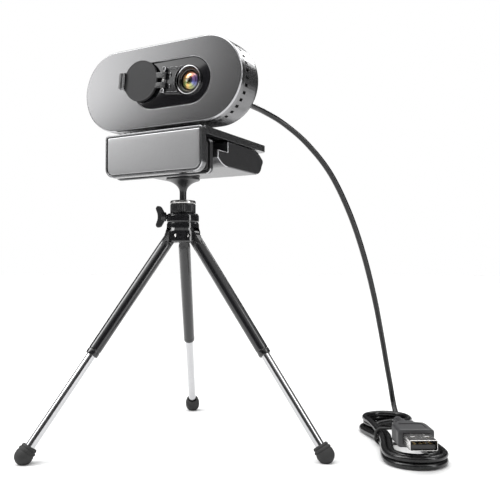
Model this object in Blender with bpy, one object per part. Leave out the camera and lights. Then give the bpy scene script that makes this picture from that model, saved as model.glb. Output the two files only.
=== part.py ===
"""Webcam with a folding clip and a privacy cover, screwed onto a mini tripod, with its lead in a tied hank.

Metres, +Z up, the webcam faces -Y. The origin is on the floor, below the middle of the object
without its cord.
Each moving body hangs from an empty on its joint's axis.
"""

from math import acos, cos, pi, radians, sin, sqrt, tan

import bmesh
import bpy
from mathutils import Matrix, Vector

# Clearances
GAP = 0.0003             # between pieces that rest on each other
RUNNING = 0.0003         # between a pin and its hole

# Head
HEAD_WIDTH = 0.095
HEAD_HEIGHT = 0.0416
HEAD_DEPTH = 0.022
HEAD_Z = 0.180           # middle of the face
FACE_Y = -0.0215         # plane of the face, in front of the tripod's line
HEAD_STRAIGHT = (HEAD_WIDTH - HEAD_HEIGHT) / 2
HEAD_RADIUS = HEAD_HEIGHT / 2
COVER_DEPTH = 0.003      # the front cover's rim
SHELL_WALL = 0.0018
REAR_ROUNDING = 0.008
VENT_PITCH = 0.0036
VENT_SIZE = (0.0015, 0.0024)   # along the rim, and front to back

# Window and lens
WINDOW_X = 0.0075
WINDOW_WIDTH = 0.0454
WINDOW_HEIGHT = 0.0229
LENS_X = 0.0183
RING_RADIUS = 0.0070
BARREL_RADIUS = 0.0054

# Housing screws
SCREW_X = 0.040

# Cord
CORD_DIAMETER = 0.0031
CORD_EXIT_X = 0.030
CORD_EXIT_DROP = 0.005   # below the middle of the head
GLAND_REACH = 0.013      # past the back of the head

# Privacy cover
COVER_LEAN = radians(6)  # of its hinge, from the vertical
COVER_ARM = 0.0142       # hinge to the middle of the disc
COVER_RADIUS = 0.01035
COVER_HINGE_Y = -0.00175 # in front of the face
BRACKET_HALF = 0.0067

# Neck
NECK_Y = -0.0085
NECK_WIDTH = 0.0174
TILT_Z = 0.1642
KNUCKLE_RADIUS = 0.0046

# Clip, folded shut
CLIP_WIDTH = 0.0586
PLATE_TOP = 0.1564
PLATE_THICKNESS = 0.0036
LIP_HEIGHT = 0.0217
LIP_FRONT = -0.027
LIP_INNER = -0.023
PLATE_BACK = 0.037
CLIP_HINGE_Y = 0.0315
CLIP_HINGE_Z = 0.149
BARREL_OF_HINGE = 0.0035
ARM_WIDTH = 0.058
ARM_BOTTOM = 0.1394
ARM_TOP = 0.1522
FOOT_PIVOT_Y = -0.0146
FOOT_PIVOT_Z = 0.143
FOOT_HALF = 0.0085

# Tripod
BALL_Z = 0.1195
BALL_RADIUS = 0.0049
PLATFORM_TOP = 0.138
PLATFORM_RADIUS = 0.0087
STUD_RADIUS = 0.0030
HUB_BOTTOM = 0.1025
HUB_TOP = 0.1175
KNOB_Z = 0.116
KNOB_TURN = radians(210)
LEG_PIVOT_R = 0.0065
LEG_PIVOT_Z = 0.106
LEG_SPREAD = radians(35.5)
LEG_TURNS = (0, 120, 240)
UPPER_TUBE_END = 0.072   # from the pivot, along the leg
FOOT_BALL_Z = 0.0036     # middle of the rubber foot's round end, above the floor
FOOT_BALL_RADIUS = 0.0042

# The tripod stands on a vertical line at y = 0. One foot points along +X and the head reaches
# furthest along -X, and this puts the origin half way between them.
FOOT_REACH = LEG_PIVOT_R + (LEG_PIVOT_Z - FOOT_BALL_Z) * tan(LEG_SPREAD) + FOOT_BALL_RADIUS
TRIPOD_X = (HEAD_WIDTH / 2 - FOOT_REACH) / 2

# The hank lies on the floor to the right, its long side along HANK_TURN
HANK_MIDDLE = (0.0820, 0.0468)
HANK_TURN = radians(120)
HANK_LENGTH = 0.090
HANK_WIDTH = 0.030
HANK_WAIST = 0.003       # drawn in on each side by the tie
HANK_THICKNESS = 0.0089
TIE_ALONG = 0.001
PLUG_ACROSS = -0.0020    # the plug's middle, across the hank
PLUG_TAIL = -0.0045      # where the strain relief ends, along the hank

# The lead's route by hand, in metres, from the gland to the hank's far end
LEAD_ROUTE = (
    (0.01188, 0.01380, 0.1750),
    (0.0120, 0.0200, 0.1749),
    (0.0136, 0.0310, 0.1738),
    (0.0190, 0.0430, 0.1693),
    (0.0280, 0.0540, 0.1592),
    (0.0378, 0.0645, 0.1430),
    (0.0455, 0.0742, 0.1210),
    (0.0508, 0.0830, 0.0970),
    (0.0542, 0.0915, 0.0720),
    (0.0560, 0.0995, 0.0485),
    (0.0571, 0.1052, 0.0310),
    (0.0585, 0.1075, 0.0190),
    (0.0606, 0.1062, 0.0092),
    (0.0636, 0.1020, 0.0036),
    (0.06725, 0.09686, 0.0018),
    (0.07164, 0.08946, 0.00165),
)
LEAD_STEP = 0.0075       # length of one straight piece of the lead


# ---------------------------------------------------------------- helpers

def clear_scene():
    for old in list(bpy.data.objects):
        bpy.data.objects.remove(old, do_unlink=True)


def material(name, colour, roughness, metallic=0.0):
    """A Principled material, made once for each name."""
    made = bpy.data.materials.get(name) or bpy.data.materials.new(name)
    made.use_nodes = True
    shader = made.node_tree.nodes["Principled BSDF"]
    shader.inputs["Base Color"].default_value = (*colour, 1.0)
    shader.inputs["Roughness"].default_value = roughness
    shader.inputs["Metallic"].default_value = metallic
    made.diffuse_color = (*colour, 1.0)
    return made


def paint():
    return material("satin_grey", (0.12, 0.12, 0.125), 0.38, 0.5)


def black_plastic():
    return material("black_plastic", (0.02, 0.02, 0.02), 0.45)


def gloss_black():
    return material("gloss_black", (0.01, 0.01, 0.01), 0.08)


def steel():
    return material("steel", (0.6, 0.6, 0.6), 0.3, 1.0)


def chrome():
    return material("chrome", (0.85, 0.85, 0.85), 0.1, 1.0)


def rubber():
    return material("rubber", (0.025, 0.025, 0.025), 0.8)


def glass():
    return material("glass", (0.2, 0.16, 0.1), 0.05)


def board_green():
    return material("board_green", (0.02, 0.12, 0.05), 0.5)


def empty(name, place, parent=None, turn=(0.0, 0.0, 0.0)):
    """An empty on a joint's axis; place is in the parent's own axes."""
    made = bpy.data.objects.new(name, None)
    made.empty_display_size = 0.01
    made.location = place
    made.rotation_euler = turn
    made.parent = parent
    bpy.context.collection.objects.link(made)
    return made


def add(name, shape, look, body, smooth=True):
    """Turns a bmesh in the body's own axes into a named object of that body."""
    bmesh.ops.recalc_face_normals(shape, faces=shape.faces)
    mesh = bpy.data.meshes.new(name)
    shape.to_mesh(mesh)
    shape.free()
    mesh.materials.append(look)
    if smooth:
        mesh.shade_smooth()
        mesh.set_sharp_from_angle(angle=radians(35))
    made = bpy.data.objects.new(name, mesh)
    made.parent = body
    bpy.context.collection.objects.link(made)
    return made


def shift(shape, x=0.0, y=0.0, z=0.0):
    bmesh.ops.translate(shape, verts=shape.verts, vec=(x, y, z))
    return shape


def turned(shape, angle, axis):
    bmesh.ops.rotate(shape, verts=shape.verts, matrix=Matrix.Rotation(angle, 3, axis))
    return shape


def loft(sections):
    """Joins outlines with the same number of points, and caps both ends."""
    shape = bmesh.new()
    rings = [[shape.verts.new(point) for point in section] for section in sections]
    count = len(rings[0])
    shape.faces.new(rings[0])
    shape.faces.new(rings[-1])
    for low, high in zip(rings, rings[1:]):
        for i in range(count):
            j = (i + 1) % count
            shape.faces.new((low[i], low[j], high[j], high[i]))
    return shape


def prism(outline, low, high, along):
    """An outline in the other two axes, in their X, Y, Z order, extruded from low to high."""
    def placed(level):
        if along == "X":
            return [(level, a, b) for a, b in outline]
        if along == "Y":
            return [(a, level, b) for a, b in outline]
        return [(a, b, level) for a, b in outline]
    return loft([placed(low), placed(high)])


def box(low, high):
    return prism([(low[0], low[1]), (high[0], low[1]), (high[0], high[1]), (low[0], high[1])],
                 low[2], high[2], "Z")


def lathe(profile, segments=32, ring=False):
    """Turns (radius, height) points about Z. A ring's profile is a closed loop; else it starts and
    ends at radius 0."""
    shape = bmesh.new()
    rows = []
    for radius, height in profile:
        if radius == 0.0:
            rows.append([shape.verts.new((0.0, 0.0, height))])
            continue
        angles = [2 * pi * i / segments for i in range(segments)]
        rows.append([shape.verts.new((radius * cos(a), radius * sin(a), height)) for a in angles])
    pairs = list(zip(rows, rows[1:]))
    if ring:
        pairs.append((rows[-1], rows[0]))
    for low, high in pairs:
        for i in range(segments):
            j = (i + 1) % segments
            corners = [low[i % len(low)], low[j % len(low)],
                       high[j % len(high)], high[i % len(high)]]
            unique = list(dict.fromkeys(corners))
            if len(unique) > 2:
                shape.faces.new(unique)
    return shape


def rod(radius, low, high, segments=16):
    return lathe([(0.0, low), (radius, low), (radius, high), (0.0, high)], segments)


def rod_x(radius, low, high, y=0.0, z=0.0, segments=16):
    return shift(turned(rod(radius, low, high, segments), radians(90), "Y"), 0.0, y, z)


def rod_y(radius, low, high, x=0.0, z=0.0, segments=16):
    return shift(turned(rod(radius, low, high, segments), radians(-90), "X"), x, 0.0, z)


def arc(middle, radius, start, end, steps):
    """Points of an arc, angles in degrees, both ends included."""
    found = []
    for i in range(steps + 1):
        angle = radians(start + (end - start) * i / steps)
        found.append((middle[0] + radius * cos(angle), middle[1] + radius * sin(angle)))
    return found


def stadium(half_straight, radius, x=0.0, z=0.0, steps=12):
    return (arc((x + half_straight, z), radius, -90, 90, steps)
            + arc((x - half_straight, z), radius, 90, 270, steps))


def rounded(half_x, half_y, radii, x=0.0, y=0.0, steps=5):
    """A rectangle with its four corner radii, from the upper right one round to the lower right one."""
    points = []
    for quarter, (sx, sy) in enumerate(((1, 1), (-1, 1), (-1, -1), (1, -1))):
        r = radii[quarter]
        middle = (x + sx * (half_x - r), y + sy * (half_y - r))
        points += arc(middle, r, 90 * quarter, 90 * quarter + 90, steps)
    return points


def cut(target, name, shape, operation="DIFFERENCE"):
    """A Boolean with a hidden helper in the target's own axes."""
    tool = add(name, shape, black_plastic(), target.parent, smooth=False)
    tool.hide_render = True
    tool.display_type = "WIRE"
    change = target.modifiers.new(name, "BOOLEAN")
    change.operation = operation
    change.solver = "EXACT"
    change.object = tool


def join(target, name, shape):
    cut(target, name, shape, "UNION")


def merged(shapes):
    """Several bmeshes in one, for a helper that cuts in several places at once."""
    whole = bmesh.new()
    for shape in shapes:
        mesh = bpy.data.meshes.new("part_of_helper")
        bmesh.ops.recalc_face_normals(shape, faces=shape.faces)
        shape.to_mesh(mesh)
        shape.free()
        whole.from_mesh(mesh)
        bpy.data.meshes.remove(mesh)
    return whole


# ---------------------------------------------------------------- head
# The head's own axes: origin in the middle of the face, +Y to its back.

def head_section(inset, y):
    return [(x, y, z) for x, z in stadium(HEAD_STRAIGHT, HEAD_RADIUS - inset)]


def front_cover(head):
    chamfer, wall, front = 0.0006, 0.0016, 0.0016
    made = add("front_cover", loft([head_section(0.0, COVER_DEPTH), head_section(0.0, chamfer),
                                    head_section(chamfer, 0.0)]), paint(), head)
    cut(made, "front_cover_hollow", loft([head_section(wall, front),
                                          head_section(wall, COVER_DEPTH + 0.001)]))
    window = stadium((WINDOW_WIDTH - WINDOW_HEIGHT) / 2, WINDOW_HEIGHT / 2, WINDOW_X, 0.0, 12)
    cut(made, "front_cover_window_hole", prism(window, -0.001, 0.003, "Y"))
    for side in (-1, 1):
        label = "left" if side < 0 else "right"
        join(made, f"front_cover_boss_{label}", rod_y(0.0030, front - 0.0006, 0.0100, side * SCREW_X))
        cut(made, f"front_cover_boss_hole_{label}", rod_y(0.0014, 0.0030, 0.0110, side * SCREW_X))
    return made


def front_window(head):
    half = (WINDOW_WIDTH - WINDOW_HEIGHT) / 2
    inner, outer = WINDOW_HEIGHT / 2 - GAP, WINDOW_HEIGHT / 2 + 0.0013

    def section(radius, y):
        return [(x, y, z) for x, z in stadium(half, radius, WINDOW_X, 0.0, 12)]
    made = add("front_window", loft([section(inner, 0.0005), section(inner, 0.0019),
                                     section(outer, 0.0019), section(outer, 0.0027)]), gloss_black(), head)
    cut(made, "front_window_lens_hole", rod_y(RING_RADIUS + GAP, -0.001, 0.004, LENS_X, 0.0, 32))


def lens_pieces(head):
    def across(profile, segments=32, ring=True):
        return shift(turned(lathe(profile, segments, ring), radians(-90), "X"), LENS_X)
    bore = BARREL_RADIUS + GAP
    add("lens_ring", across([(bore, 0.0008), (0.0064, -0.0012), (0.0068, -0.0012), (RING_RADIUS, -0.0010),
                             (RING_RADIUS, 0.0027), (bore, 0.0027)]), steel(), head)
    add("lens_barrel", across([(0.0049, 0.0004), (BARREL_RADIUS, 0.0004), (BARREL_RADIUS, 0.0090),
                               (0.0036, 0.0090), (0.0036, 0.0026), (0.0049, 0.0026)]), black_plastic(), head)
    front = [(0.0, -0.0005), (0.0018, -0.0003), (0.0034, 0.0003), (0.0046, 0.0012), (0.0046, 0.0022),
             (0.0, 0.0022)]
    add("lens_front_element", across(front, 32, False), glass(), head)
    rear = [(0.0, 0.0048), (0.0020, 0.0051), (0.0033, 0.0056), (0.0033, 0.0064), (0.0, 0.0066)]
    add("lens_rear_element", across(rear, 24, False), glass(), head)


def sensor_and_board(head):
    holder = add("lens_holder", box((LENS_X - 0.007, 0.0093, -0.007), (LENS_X + 0.007, 0.0122, 0.007)),
                 black_plastic(), head)
    cut(holder, "lens_holder_hole", rod_y(0.0053, 0.009, 0.013, LENS_X))
    add("image_sensor", box((LENS_X - 0.0035, 0.0113, -0.0035), (LENS_X + 0.0035, 0.0122, 0.0035)),
        glass(), head)
    outline = rounded(0.029, 0.012, (0.003,) * 4, 0.0, 0.003)
    add("circuit_board", prism(outline, 0.0125, 0.0137, "Y"), board_green(), head)
    add("image_processor", box((-0.018, 0.0140, -0.001), (-0.007, 0.0152, 0.010)), black_plastic(), head)
    add("status_light", box((-0.012, 0.0112, 0.006), (-0.010, 0.0122, 0.0076)), glass(), head)
    for side, label in ((-1, "left"), (1, "right")):
        add(f"microphone_{label}", rod_y(0.0022, 0.0108, 0.0122, side * 0.0255, 0.010), steel(), head)


def rim_points(spacing):
    """Places and headings round the head's rim, evenly spaced."""
    straight, bend = 2 * HEAD_STRAIGHT, pi * HEAD_RADIUS
    around = 2 * (straight + bend)
    count = round(around / spacing)
    found = []
    for i in range(count):
        at = (i + 0.5) * around / count
        if at < straight:
            found.append((HEAD_STRAIGHT - at, HEAD_RADIUS, pi / 2))
        elif at < straight + bend:
            angle = pi / 2 + (at - straight) / HEAD_RADIUS
            found.append((-HEAD_STRAIGHT + HEAD_RADIUS * cos(angle), HEAD_RADIUS * sin(angle), angle))
        elif at < 2 * straight + bend:
            found.append((-HEAD_STRAIGHT + at - straight - bend, -HEAD_RADIUS, -pi / 2))
        else:
            angle = -pi / 2 + (at - 2 * straight - bend) / HEAD_RADIUS
            found.append((HEAD_STRAIGHT + HEAD_RADIUS * cos(angle), HEAD_RADIUS * sin(angle), angle))
    return found


def rear_shell(head):
    front = COVER_DEPTH + GAP
    steps = 5
    outer = [head_section(0.0, front)]
    inner = []
    for i in range(steps + 1):
        angle = pi / 2 * i / steps
        inset, back = REAR_ROUNDING * (1 - cos(angle)), HEAD_DEPTH - REAR_ROUNDING * (1 - sin(angle))
        outer.append(head_section(inset, back))
        small = REAR_ROUNDING - SHELL_WALL
        inset = SHELL_WALL + small * (1 - cos(angle))
        inner.append(head_section(inset, HEAD_DEPTH - SHELL_WALL - small * (1 - sin(angle))))
    made = add("rear_shell", loft(outer), paint(), head)
    cut(made, "rear_shell_hollow", loft([head_section(SHELL_WALL, front - 0.001)] + inner))

    along, deep = VENT_SIZE
    vents = []
    for x, z, angle in rim_points(VENT_PITCH):
        vent = box((-0.0025, -deep / 2, -along / 2), (0.0015, deep / 2, along / 2))
        vents.append(shift(turned(vent, -angle, "Y"), x, front + 0.0009 + deep / 2, z))
    cut(made, "rear_shell_vents", merged(vents))

    bottom = -HEAD_RADIUS
    neck_y, tilt_z = NECK_Y - FACE_Y, TILT_Z - HEAD_Z
    for side, label in ((-1, "left"), (1, "right")):
        inside, outside = sorted((side * 0.0092, side * 0.0114))
        join(made, f"rear_shell_ear_{label}", box((inside, neck_y - 0.004, bottom + 0.0008),
                                                  (outside, neck_y + 0.004, tilt_z + 0.0040)))
        join(made, f"rear_shell_boss_{label}", rod_y(0.0037, 0.0103, HEAD_DEPTH - 0.0008, side * SCREW_X))
        stepped = lathe([(0.0, 0.0095), (0.0016, 0.0095), (0.0016, 0.0175), (0.0024, 0.0175),
                         (0.0024, HEAD_DEPTH + 0.001), (0.0, HEAD_DEPTH + 0.001)], 12)
        stepped = shift(turned(stepped, radians(-90), "X"), side * SCREW_X)
        cut(made, f"rear_shell_screw_hole_{label}", stepped)
        add(f"housing_screw_{label}", shift(turned(lathe([
            (0.0, 0.0045), (0.0008, 0.0045), (0.0011, 0.0055), (0.0011, 0.0178), (0.0020, 0.0178),
            (0.0020, 0.0189), (0.0014, 0.0194), (0.0, 0.0194)], 16), radians(-90), "X"), side * SCREW_X),
            steel(), head)
    cut(made, "rear_shell_pin_hole", rod_x(0.0010 + RUNNING, -0.02, 0.02, neck_y, tilt_z))
    slot = NECK_WIDTH / 2 + 0.0004
    cut(made, "rear_shell_neck_slot", box((-slot, neck_y - 0.0066, bottom - 0.002),
                                          (slot, neck_y + 0.0066, bottom + 0.0045)))
    cut(made, "rear_shell_cord_hole", rod_y(0.0037, 0.015, 0.03, CORD_EXIT_X, -CORD_EXIT_DROP))


def cord_gland(head):
    back = HEAD_DEPTH
    end = back + GLAND_REACH
    profile = [(0.0, back - 0.0031), (0.0050, back - 0.0031), (0.0050, back - 0.0021),
               (0.0034, back - 0.0021), (0.0034, back + 0.0003), (0.0042, back + 0.0003),
               (0.0042, back + 0.0016), (0.0034, back + 0.0024), (0.0024, end), (0.0, end)]
    gland = turned(lathe(profile, 24), radians(-90), "X")
    add("cord_gland", shift(gland, CORD_EXIT_X, 0.0, -CORD_EXIT_DROP), rubber(), head)


# ---------------------------------------------------------------- privacy cover
# Its own axes: Z along the hinge, +X towards the lens, +Y to the face.

def cover_hinge(head):
    place = (LENS_X - COVER_ARM * cos(COVER_LEAN), COVER_HINGE_Y, COVER_ARM * sin(COVER_LEAN))
    return (empty("cover_bracket_place", place, head, (0.0, COVER_LEAN, 0.0)),
            empty("privacy_cover_axis", place, head, (0.0, COVER_LEAN, 0.0)))


def cover_bracket(fixed):
    edge = RING_RADIUS + 0.0010
    reach = acos(sqrt(1 - (BRACKET_HALF / edge) ** 2)) * 180 / pi
    curve = arc((COVER_ARM, 0.0), edge, 180 - reach, 180 + reach, 10)
    outline = [(-0.0010, -BRACKET_HALF), (-0.0010, BRACKET_HALF)] + curve
    made = add("cover_bracket", prism(outline, 0.0013, 0.0019, "Y"), gloss_black(), fixed)
    for side, label in ((-1, "lower"), (1, "upper")):
        low, high = sorted((side * 0.0044, side * 0.0064))
        join(made, f"cover_bracket_knuckle_{label}", rod(0.0010, low, high, 20))
        join(made, f"cover_bracket_web_{label}",
             box((-0.0009, 0.0003, low + 0.0001), (0.0009, 0.0015, high - 0.0001)))
    cut(made, "cover_bracket_hole", rod(0.00045 + 0.0002, -0.01, 0.01, 16))


def privacy_cover(moving):
    disc = lathe([(0.0, -0.00025), (COVER_RADIUS - 0.0003, -0.00025), (COVER_RADIUS, 0.0),
                  (COVER_RADIUS, 0.0009), (COVER_RADIUS - 0.0003, 0.00115), (0.0, 0.00115)], 36)
    made = add("privacy_cover", shift(turned(disc, radians(-90), "X"), -COVER_ARM), black_plastic(), moving)
    join(made, "privacy_cover_arm", box((-0.0062, -0.0002, -0.0040), (-0.0004, 0.00072, 0.0040)))
    join(made, "privacy_cover_knuckle", rod(0.0010, -0.0040, 0.0040, 20))
    cut(made, "privacy_cover_hole", rod(0.00045 + 0.0002, -0.01, 0.01, 16))
    rim = -COVER_ARM - COVER_RADIUS
    join(made, "privacy_cover_tab", box((rim - 0.0024, -0.00145, -0.0042), (rim + 0.0010, 0.0006, 0.0042)))
    cut(made, "privacy_cover_tab_notch", box((rim - 0.0030, -0.0020, -0.0023),
                                             (rim - 0.0009, 0.0010, 0.0023)))
    add("cover_pin", rod(0.00045, -0.0062, 0.0062, 12), steel(), moving)


# ---------------------------------------------------------------- neck
# World heights, about the tripod's line.

def neck_pieces(neck, head):
    half = NECK_WIDTH / 2
    origin = Vector((0.0, NECK_Y, PLATE_TOP))
    tilt = TILT_Z - origin.z
    made = add("neck_bracket", box((-half, -0.0045, 0.0010), (half, 0.0045, 0.0017)), black_plastic(), neck)
    join(made, "neck_bracket_stalk", box((-half, -0.0035, 0.0012), (half, 0.0035, tilt)))
    join(made, "neck_bracket_knuckle", rod_x(KNUCKLE_RADIUS, -half, half, 0.0, tilt, 32))
    cut(made, "neck_bracket_pin_hole", rod_x(0.0010 + RUNNING, -0.02, 0.02, 0.0, tilt))
    cut(made, "neck_bracket_screw_hole", rod(0.0015 + RUNNING, 0.0, 0.0052))
    add("swivel_washer", lathe([(0.0019, GAP), (0.0095, GAP), (0.0095, 0.0007), (0.0019, 0.0007)], 32, True),
        steel(), neck)
    add("swivel_screw", lathe([(0.0, -0.0035), (0.0032, -0.0035), (0.0035, -0.0030), (0.0035, -0.0021),
                               (0.0015, -0.0021), (0.0015, 0.0046), (0.0, 0.0046)], 20), steel(), neck)
    add("tilt_pin", rod_x(0.0010, -0.0112, 0.0112, NECK_Y - FACE_Y, TILT_Z - HEAD_Z, 16), steel(), head)


# ---------------------------------------------------------------- clip
# Its pieces are drawn about the tripod's line, in world heights, and moved onto their own axes.

def on_axis(shape, y, z):
    return shift(shape, 0.0, -y, -z)


def lip_outline(inset):
    half = CLIP_WIDTH / 2 - inset
    low, high = PLATE_TOP - LIP_HEIGHT + inset, PLATE_TOP - inset
    top, bottom = max(0.0016 - inset, 0.0005), 0.005 - inset
    return rounded(half, (high - low) / 2, (top, top, bottom, bottom), 0.0, (high + low) / 2)


def upper_arm(clip):
    def place(shape):
        return on_axis(shape, CLIP_HINGE_Y, CLIP_HINGE_Z)
    under = PLATE_TOP - PLATE_THICKNESS
    lip = prism(lip_outline(0.0), LIP_FRONT + 0.0005, LIP_INNER, "Y")
    made = add("upper_arm", place(lip), paint(), clip)
    half = CLIP_WIDTH / 2
    middle = (PLATE_BACK + LIP_INNER) / 2
    plate = rounded(half, (PLATE_BACK - LIP_INNER) / 2 + 0.001, (0.003, 0.003, 0.0001, 0.0001), 0.0, middle)
    join(made, "upper_arm_plate", place(prism(plate, under, PLATE_TOP, "Z")))
    join(made, "upper_arm_lip_rim", place(loft([
        [(x, LIP_FRONT, z) for x, z in lip_outline(0.0004)],
        [(x, LIP_FRONT + 0.0006, z) for x, z in lip_outline(0.0)]])))
    recess = prism(lip_outline(0.0010), LIP_FRONT - 0.001, LIP_FRONT + 0.0012, "Y")
    cut(made, "upper_arm_panel_recess", place(recess))
    for side, label in ((-1, "left"), (1, "right")):
        low, high = sorted((side * 0.016, side * 0.024))
        join(made, f"upper_arm_web_{label}", box((low, -BARREL_OF_HINGE, 0.0),
                                                 (high, BARREL_OF_HINGE, 0.0042)))
        join(made, f"upper_arm_knuckle_{label}", rod_x(BARREL_OF_HINGE, low, high, 0.0, 0.0, 28))
    cut(made, "upper_arm_pin_hole", rod_x(0.0015 + RUNNING, -0.03, 0.03))
    cut(made, "upper_arm_screw_seat", place(shift(rod(0.0040, under - 0.001, under + 0.0018), 0.0, NECK_Y)))
    cut(made, "upper_arm_screw_hole", place(shift(rod(0.0019, under, PLATE_TOP + 0.001), 0.0, NECK_Y)))

    panel = loft([[(x, LIP_FRONT, z) for x, z in lip_outline(0.0017)],
                  [(x, LIP_FRONT + 0.0004, z) for x, z in lip_outline(0.0013)],
                  [(x, LIP_FRONT + 0.0009, z) for x, z in lip_outline(0.0013)]])
    add("lip_panel", place(panel), paint(), clip)
    pad = rounded(0.025, 0.0068, (0.0015,) * 4, 0.0, 0.1440)
    add("lip_pad", place(prism(pad, LIP_INNER + GAP, LIP_INNER + 0.0008, "Y")), rubber(), clip)


def clip_pin(clip):
    turn = radians(90)
    pin = lathe([(0.0, -0.0258), (0.0027, -0.0258), (0.0032, -0.0253), (0.0032, -0.0243), (0.0015, -0.0243),
                 (0.0015, 0.0243), (0.0, 0.0243)], 24)
    add("clip_pin", turned(pin, turn, "Y"), steel(), clip)
    cap = lathe([(0.0, 0.0246), (0.0032, 0.0246), (0.0032, 0.0256), (0.0027, 0.0261), (0.0018, 0.0261),
                 (0.0016, 0.0257), (0.0, 0.0257)], 24)
    add("clip_pin_cap", turned(cap, turn, "Y"), steel(), clip)


def arm_profile():
    """Side view of the lower arm, (y, z): flat where the tripod meets it, curved up at both ends."""
    back = CLIP_HINGE_Y + 0.0030
    step_z, step_y = 0.1470, -0.003
    points = [(step_y, step_z), (step_y, ARM_TOP), (0.0275, ARM_TOP), (0.0315, 0.1500), (back, 0.1480)]
    points += [(back, 0.1462)] + arc((0.0265, 0.1462), 0.0068, -18, -90, 6)
    points += [(-0.0031, ARM_BOTTOM)] + arc((-0.0031, 0.1524), 0.0130, -96, -135, 4) + [(-0.0123, step_z)]
    return points


def lower_arm(arm):
    """The arm's own origin is on the tripod's line, at the arm's flat bottom."""
    half = ARM_WIDTH / 2

    def place(shape):
        return on_axis(shape, 0.0, ARM_BOTTOM)
    made = add("lower_arm", place(prism(arm_profile(), -half, half, "X")), black_plastic(), arm)
    round_up = made.modifiers.new("softened_edges", "BEVEL")
    round_up.width = 0.0006
    round_up.segments = 2
    round_up.limit_method = "ANGLE"
    round_up.angle_limit = radians(50)
    for side, label in ((-1, "left"), (1, "right")):
        low, high = sorted((side * 0.0157, side * 0.0266))
        cut(made, f"lower_arm_pocket_{label}", place(box((low, CLIP_HINGE_Y - 0.0041, CLIP_HINGE_Z - 0.0041),
                                                         (high, 0.040, 0.158))))
    knuckle = rod_x(BARREL_OF_HINGE, -0.0154, 0.0154, CLIP_HINGE_Y, CLIP_HINGE_Z, 28)
    join(made, "lower_arm_knuckle", place(knuckle))
    cut(made, "lower_arm_pin_hole", place(rod_x(0.0015 + RUNNING, -0.02, 0.02, CLIP_HINGE_Y, CLIP_HINGE_Z)))
    recess = rounded(0.0253, 0.0110, (0.002,) * 4, 0.0, 0.0112)
    cut(made, "lower_arm_pad_recess", place(prism(recess, 0.1509, 0.154, "Z")))
    slot = rounded(0.0085, 0.0012, (0.00119,) * 4, 0.0, -0.0068)
    cut(made, "lower_arm_slot", place(prism(slot, 0.1450, 0.150, "Z")))
    cut(made, "lower_arm_insert_pocket", rod(0.0049, -0.001, 0.0072))
    join(made, "lower_arm_tongue", place(box((-0.007, FOOT_PIVOT_Y, FOOT_PIVOT_Z - 0.0019),
                                             (0.007, -0.0100, FOOT_PIVOT_Z + 0.0019))))
    join(made, "lower_arm_tongue_end", place(rod_x(0.0019, -0.007, 0.007, FOOT_PIVOT_Y, FOOT_PIVOT_Z)))
    cut(made, "lower_arm_foot_hole", place(rod_x(0.0008 + RUNNING, -0.02, 0.02, FOOT_PIVOT_Y, FOOT_PIVOT_Z)))

    pad = rounded(0.0250, 0.0107, (0.0017,) * 4, 0.0, 0.0112)
    add("arm_pad", place(prism(pad, 0.1512, ARM_TOP, "Z")), rubber(), arm)
    add("tripod_insert", lathe([(0.0033, 0.0003), (0.0041, 0.0003), (0.0046, 0.0008), (0.0046, 0.0068),
                                (0.0033, 0.0068)], 28, True), steel(), arm)
    add("foot_pin", place(rod_x(0.0008, -0.0102, 0.0102, FOOT_PIVOT_Y, FOOT_PIVOT_Z, 16)), steel(), arm)


def foot(pivot):
    half = ARM_WIDTH / 2
    made = add("foot_panel", prism(rounded(half, FOOT_HALF, (0.0025,) * 4), -0.0044, -0.0022, "Y"),
               black_plastic(), pivot)
    for side, label in ((-1, "left"), (1, "right")):
        low, high = sorted((side * 0.0074, side * 0.0104))
        join(made, f"foot_panel_lug_{label}", box((low, -0.0030, -0.0017), (high, 0.0, 0.0017)))
        join(made, f"foot_panel_eye_{label}", rod_x(0.0019, low, high))
    cut(made, "foot_panel_pin_hole", rod_x(0.0008 + RUNNING, -0.02, 0.02))
    add("foot_pad", prism(rounded(0.0265, 0.0062, (0.0018,) * 4), -0.0053, -0.0047, "Y"), rubber(), pivot)


# ---------------------------------------------------------------- tripod

def ball_arc(start, end, radius, steps, middle=BALL_Z):
    """Points of the ball's outline between two heights above its middle."""
    first, last = acos(start / radius), acos(end / radius)
    angles = [first + (last - first) * i / steps for i in range(steps + 1)]
    return [(radius * sin(a), middle + radius * cos(a)) for a in angles]


def ball_stud(ball):
    """Ball, stem, flared platform and screw, about the ball's middle."""
    stem = 0.00175
    top = sqrt(BALL_RADIUS ** 2 - stem ** 2)
    round_part = [(r, z - BALL_Z) for r, z in ball_arc(-BALL_RADIUS * 0.985, top, BALL_RADIUS, 8)]
    upper = [(stem, 0.1285), (0.0019, 0.1300), (0.0026, 0.1316), (0.0042, 0.1332), (0.0066, 0.1345),
             (PLATFORM_RADIUS - 0.0003, 0.1351), (PLATFORM_RADIUS, 0.1355),
             (PLATFORM_RADIUS, PLATFORM_TOP - 0.0003),
             (PLATFORM_RADIUS - 0.0003, PLATFORM_TOP), (STUD_RADIUS, PLATFORM_TOP),
             (STUD_RADIUS, PLATFORM_TOP + 0.0050), (STUD_RADIUS - 0.0006, PLATFORM_TOP + 0.0056)]
    profile = [(0.0, round_part[0][1])] + round_part + [(r, z - BALL_Z) for r, z in upper]
    profile.append((0.0, PLATFORM_TOP + 0.0056 - BALL_Z))
    add("ball_stud", lathe(profile, 24), black_plastic(), ball)
    low, high = PLATFORM_TOP + GAP - BALL_Z, PLATFORM_TOP + 0.0011 - BALL_Z
    add("platform_pad", lathe([(0.0033, low), (0.0084, low), (0.0084, high), (0.0033, high)], 32, True),
        rubber(), ball)


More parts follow.
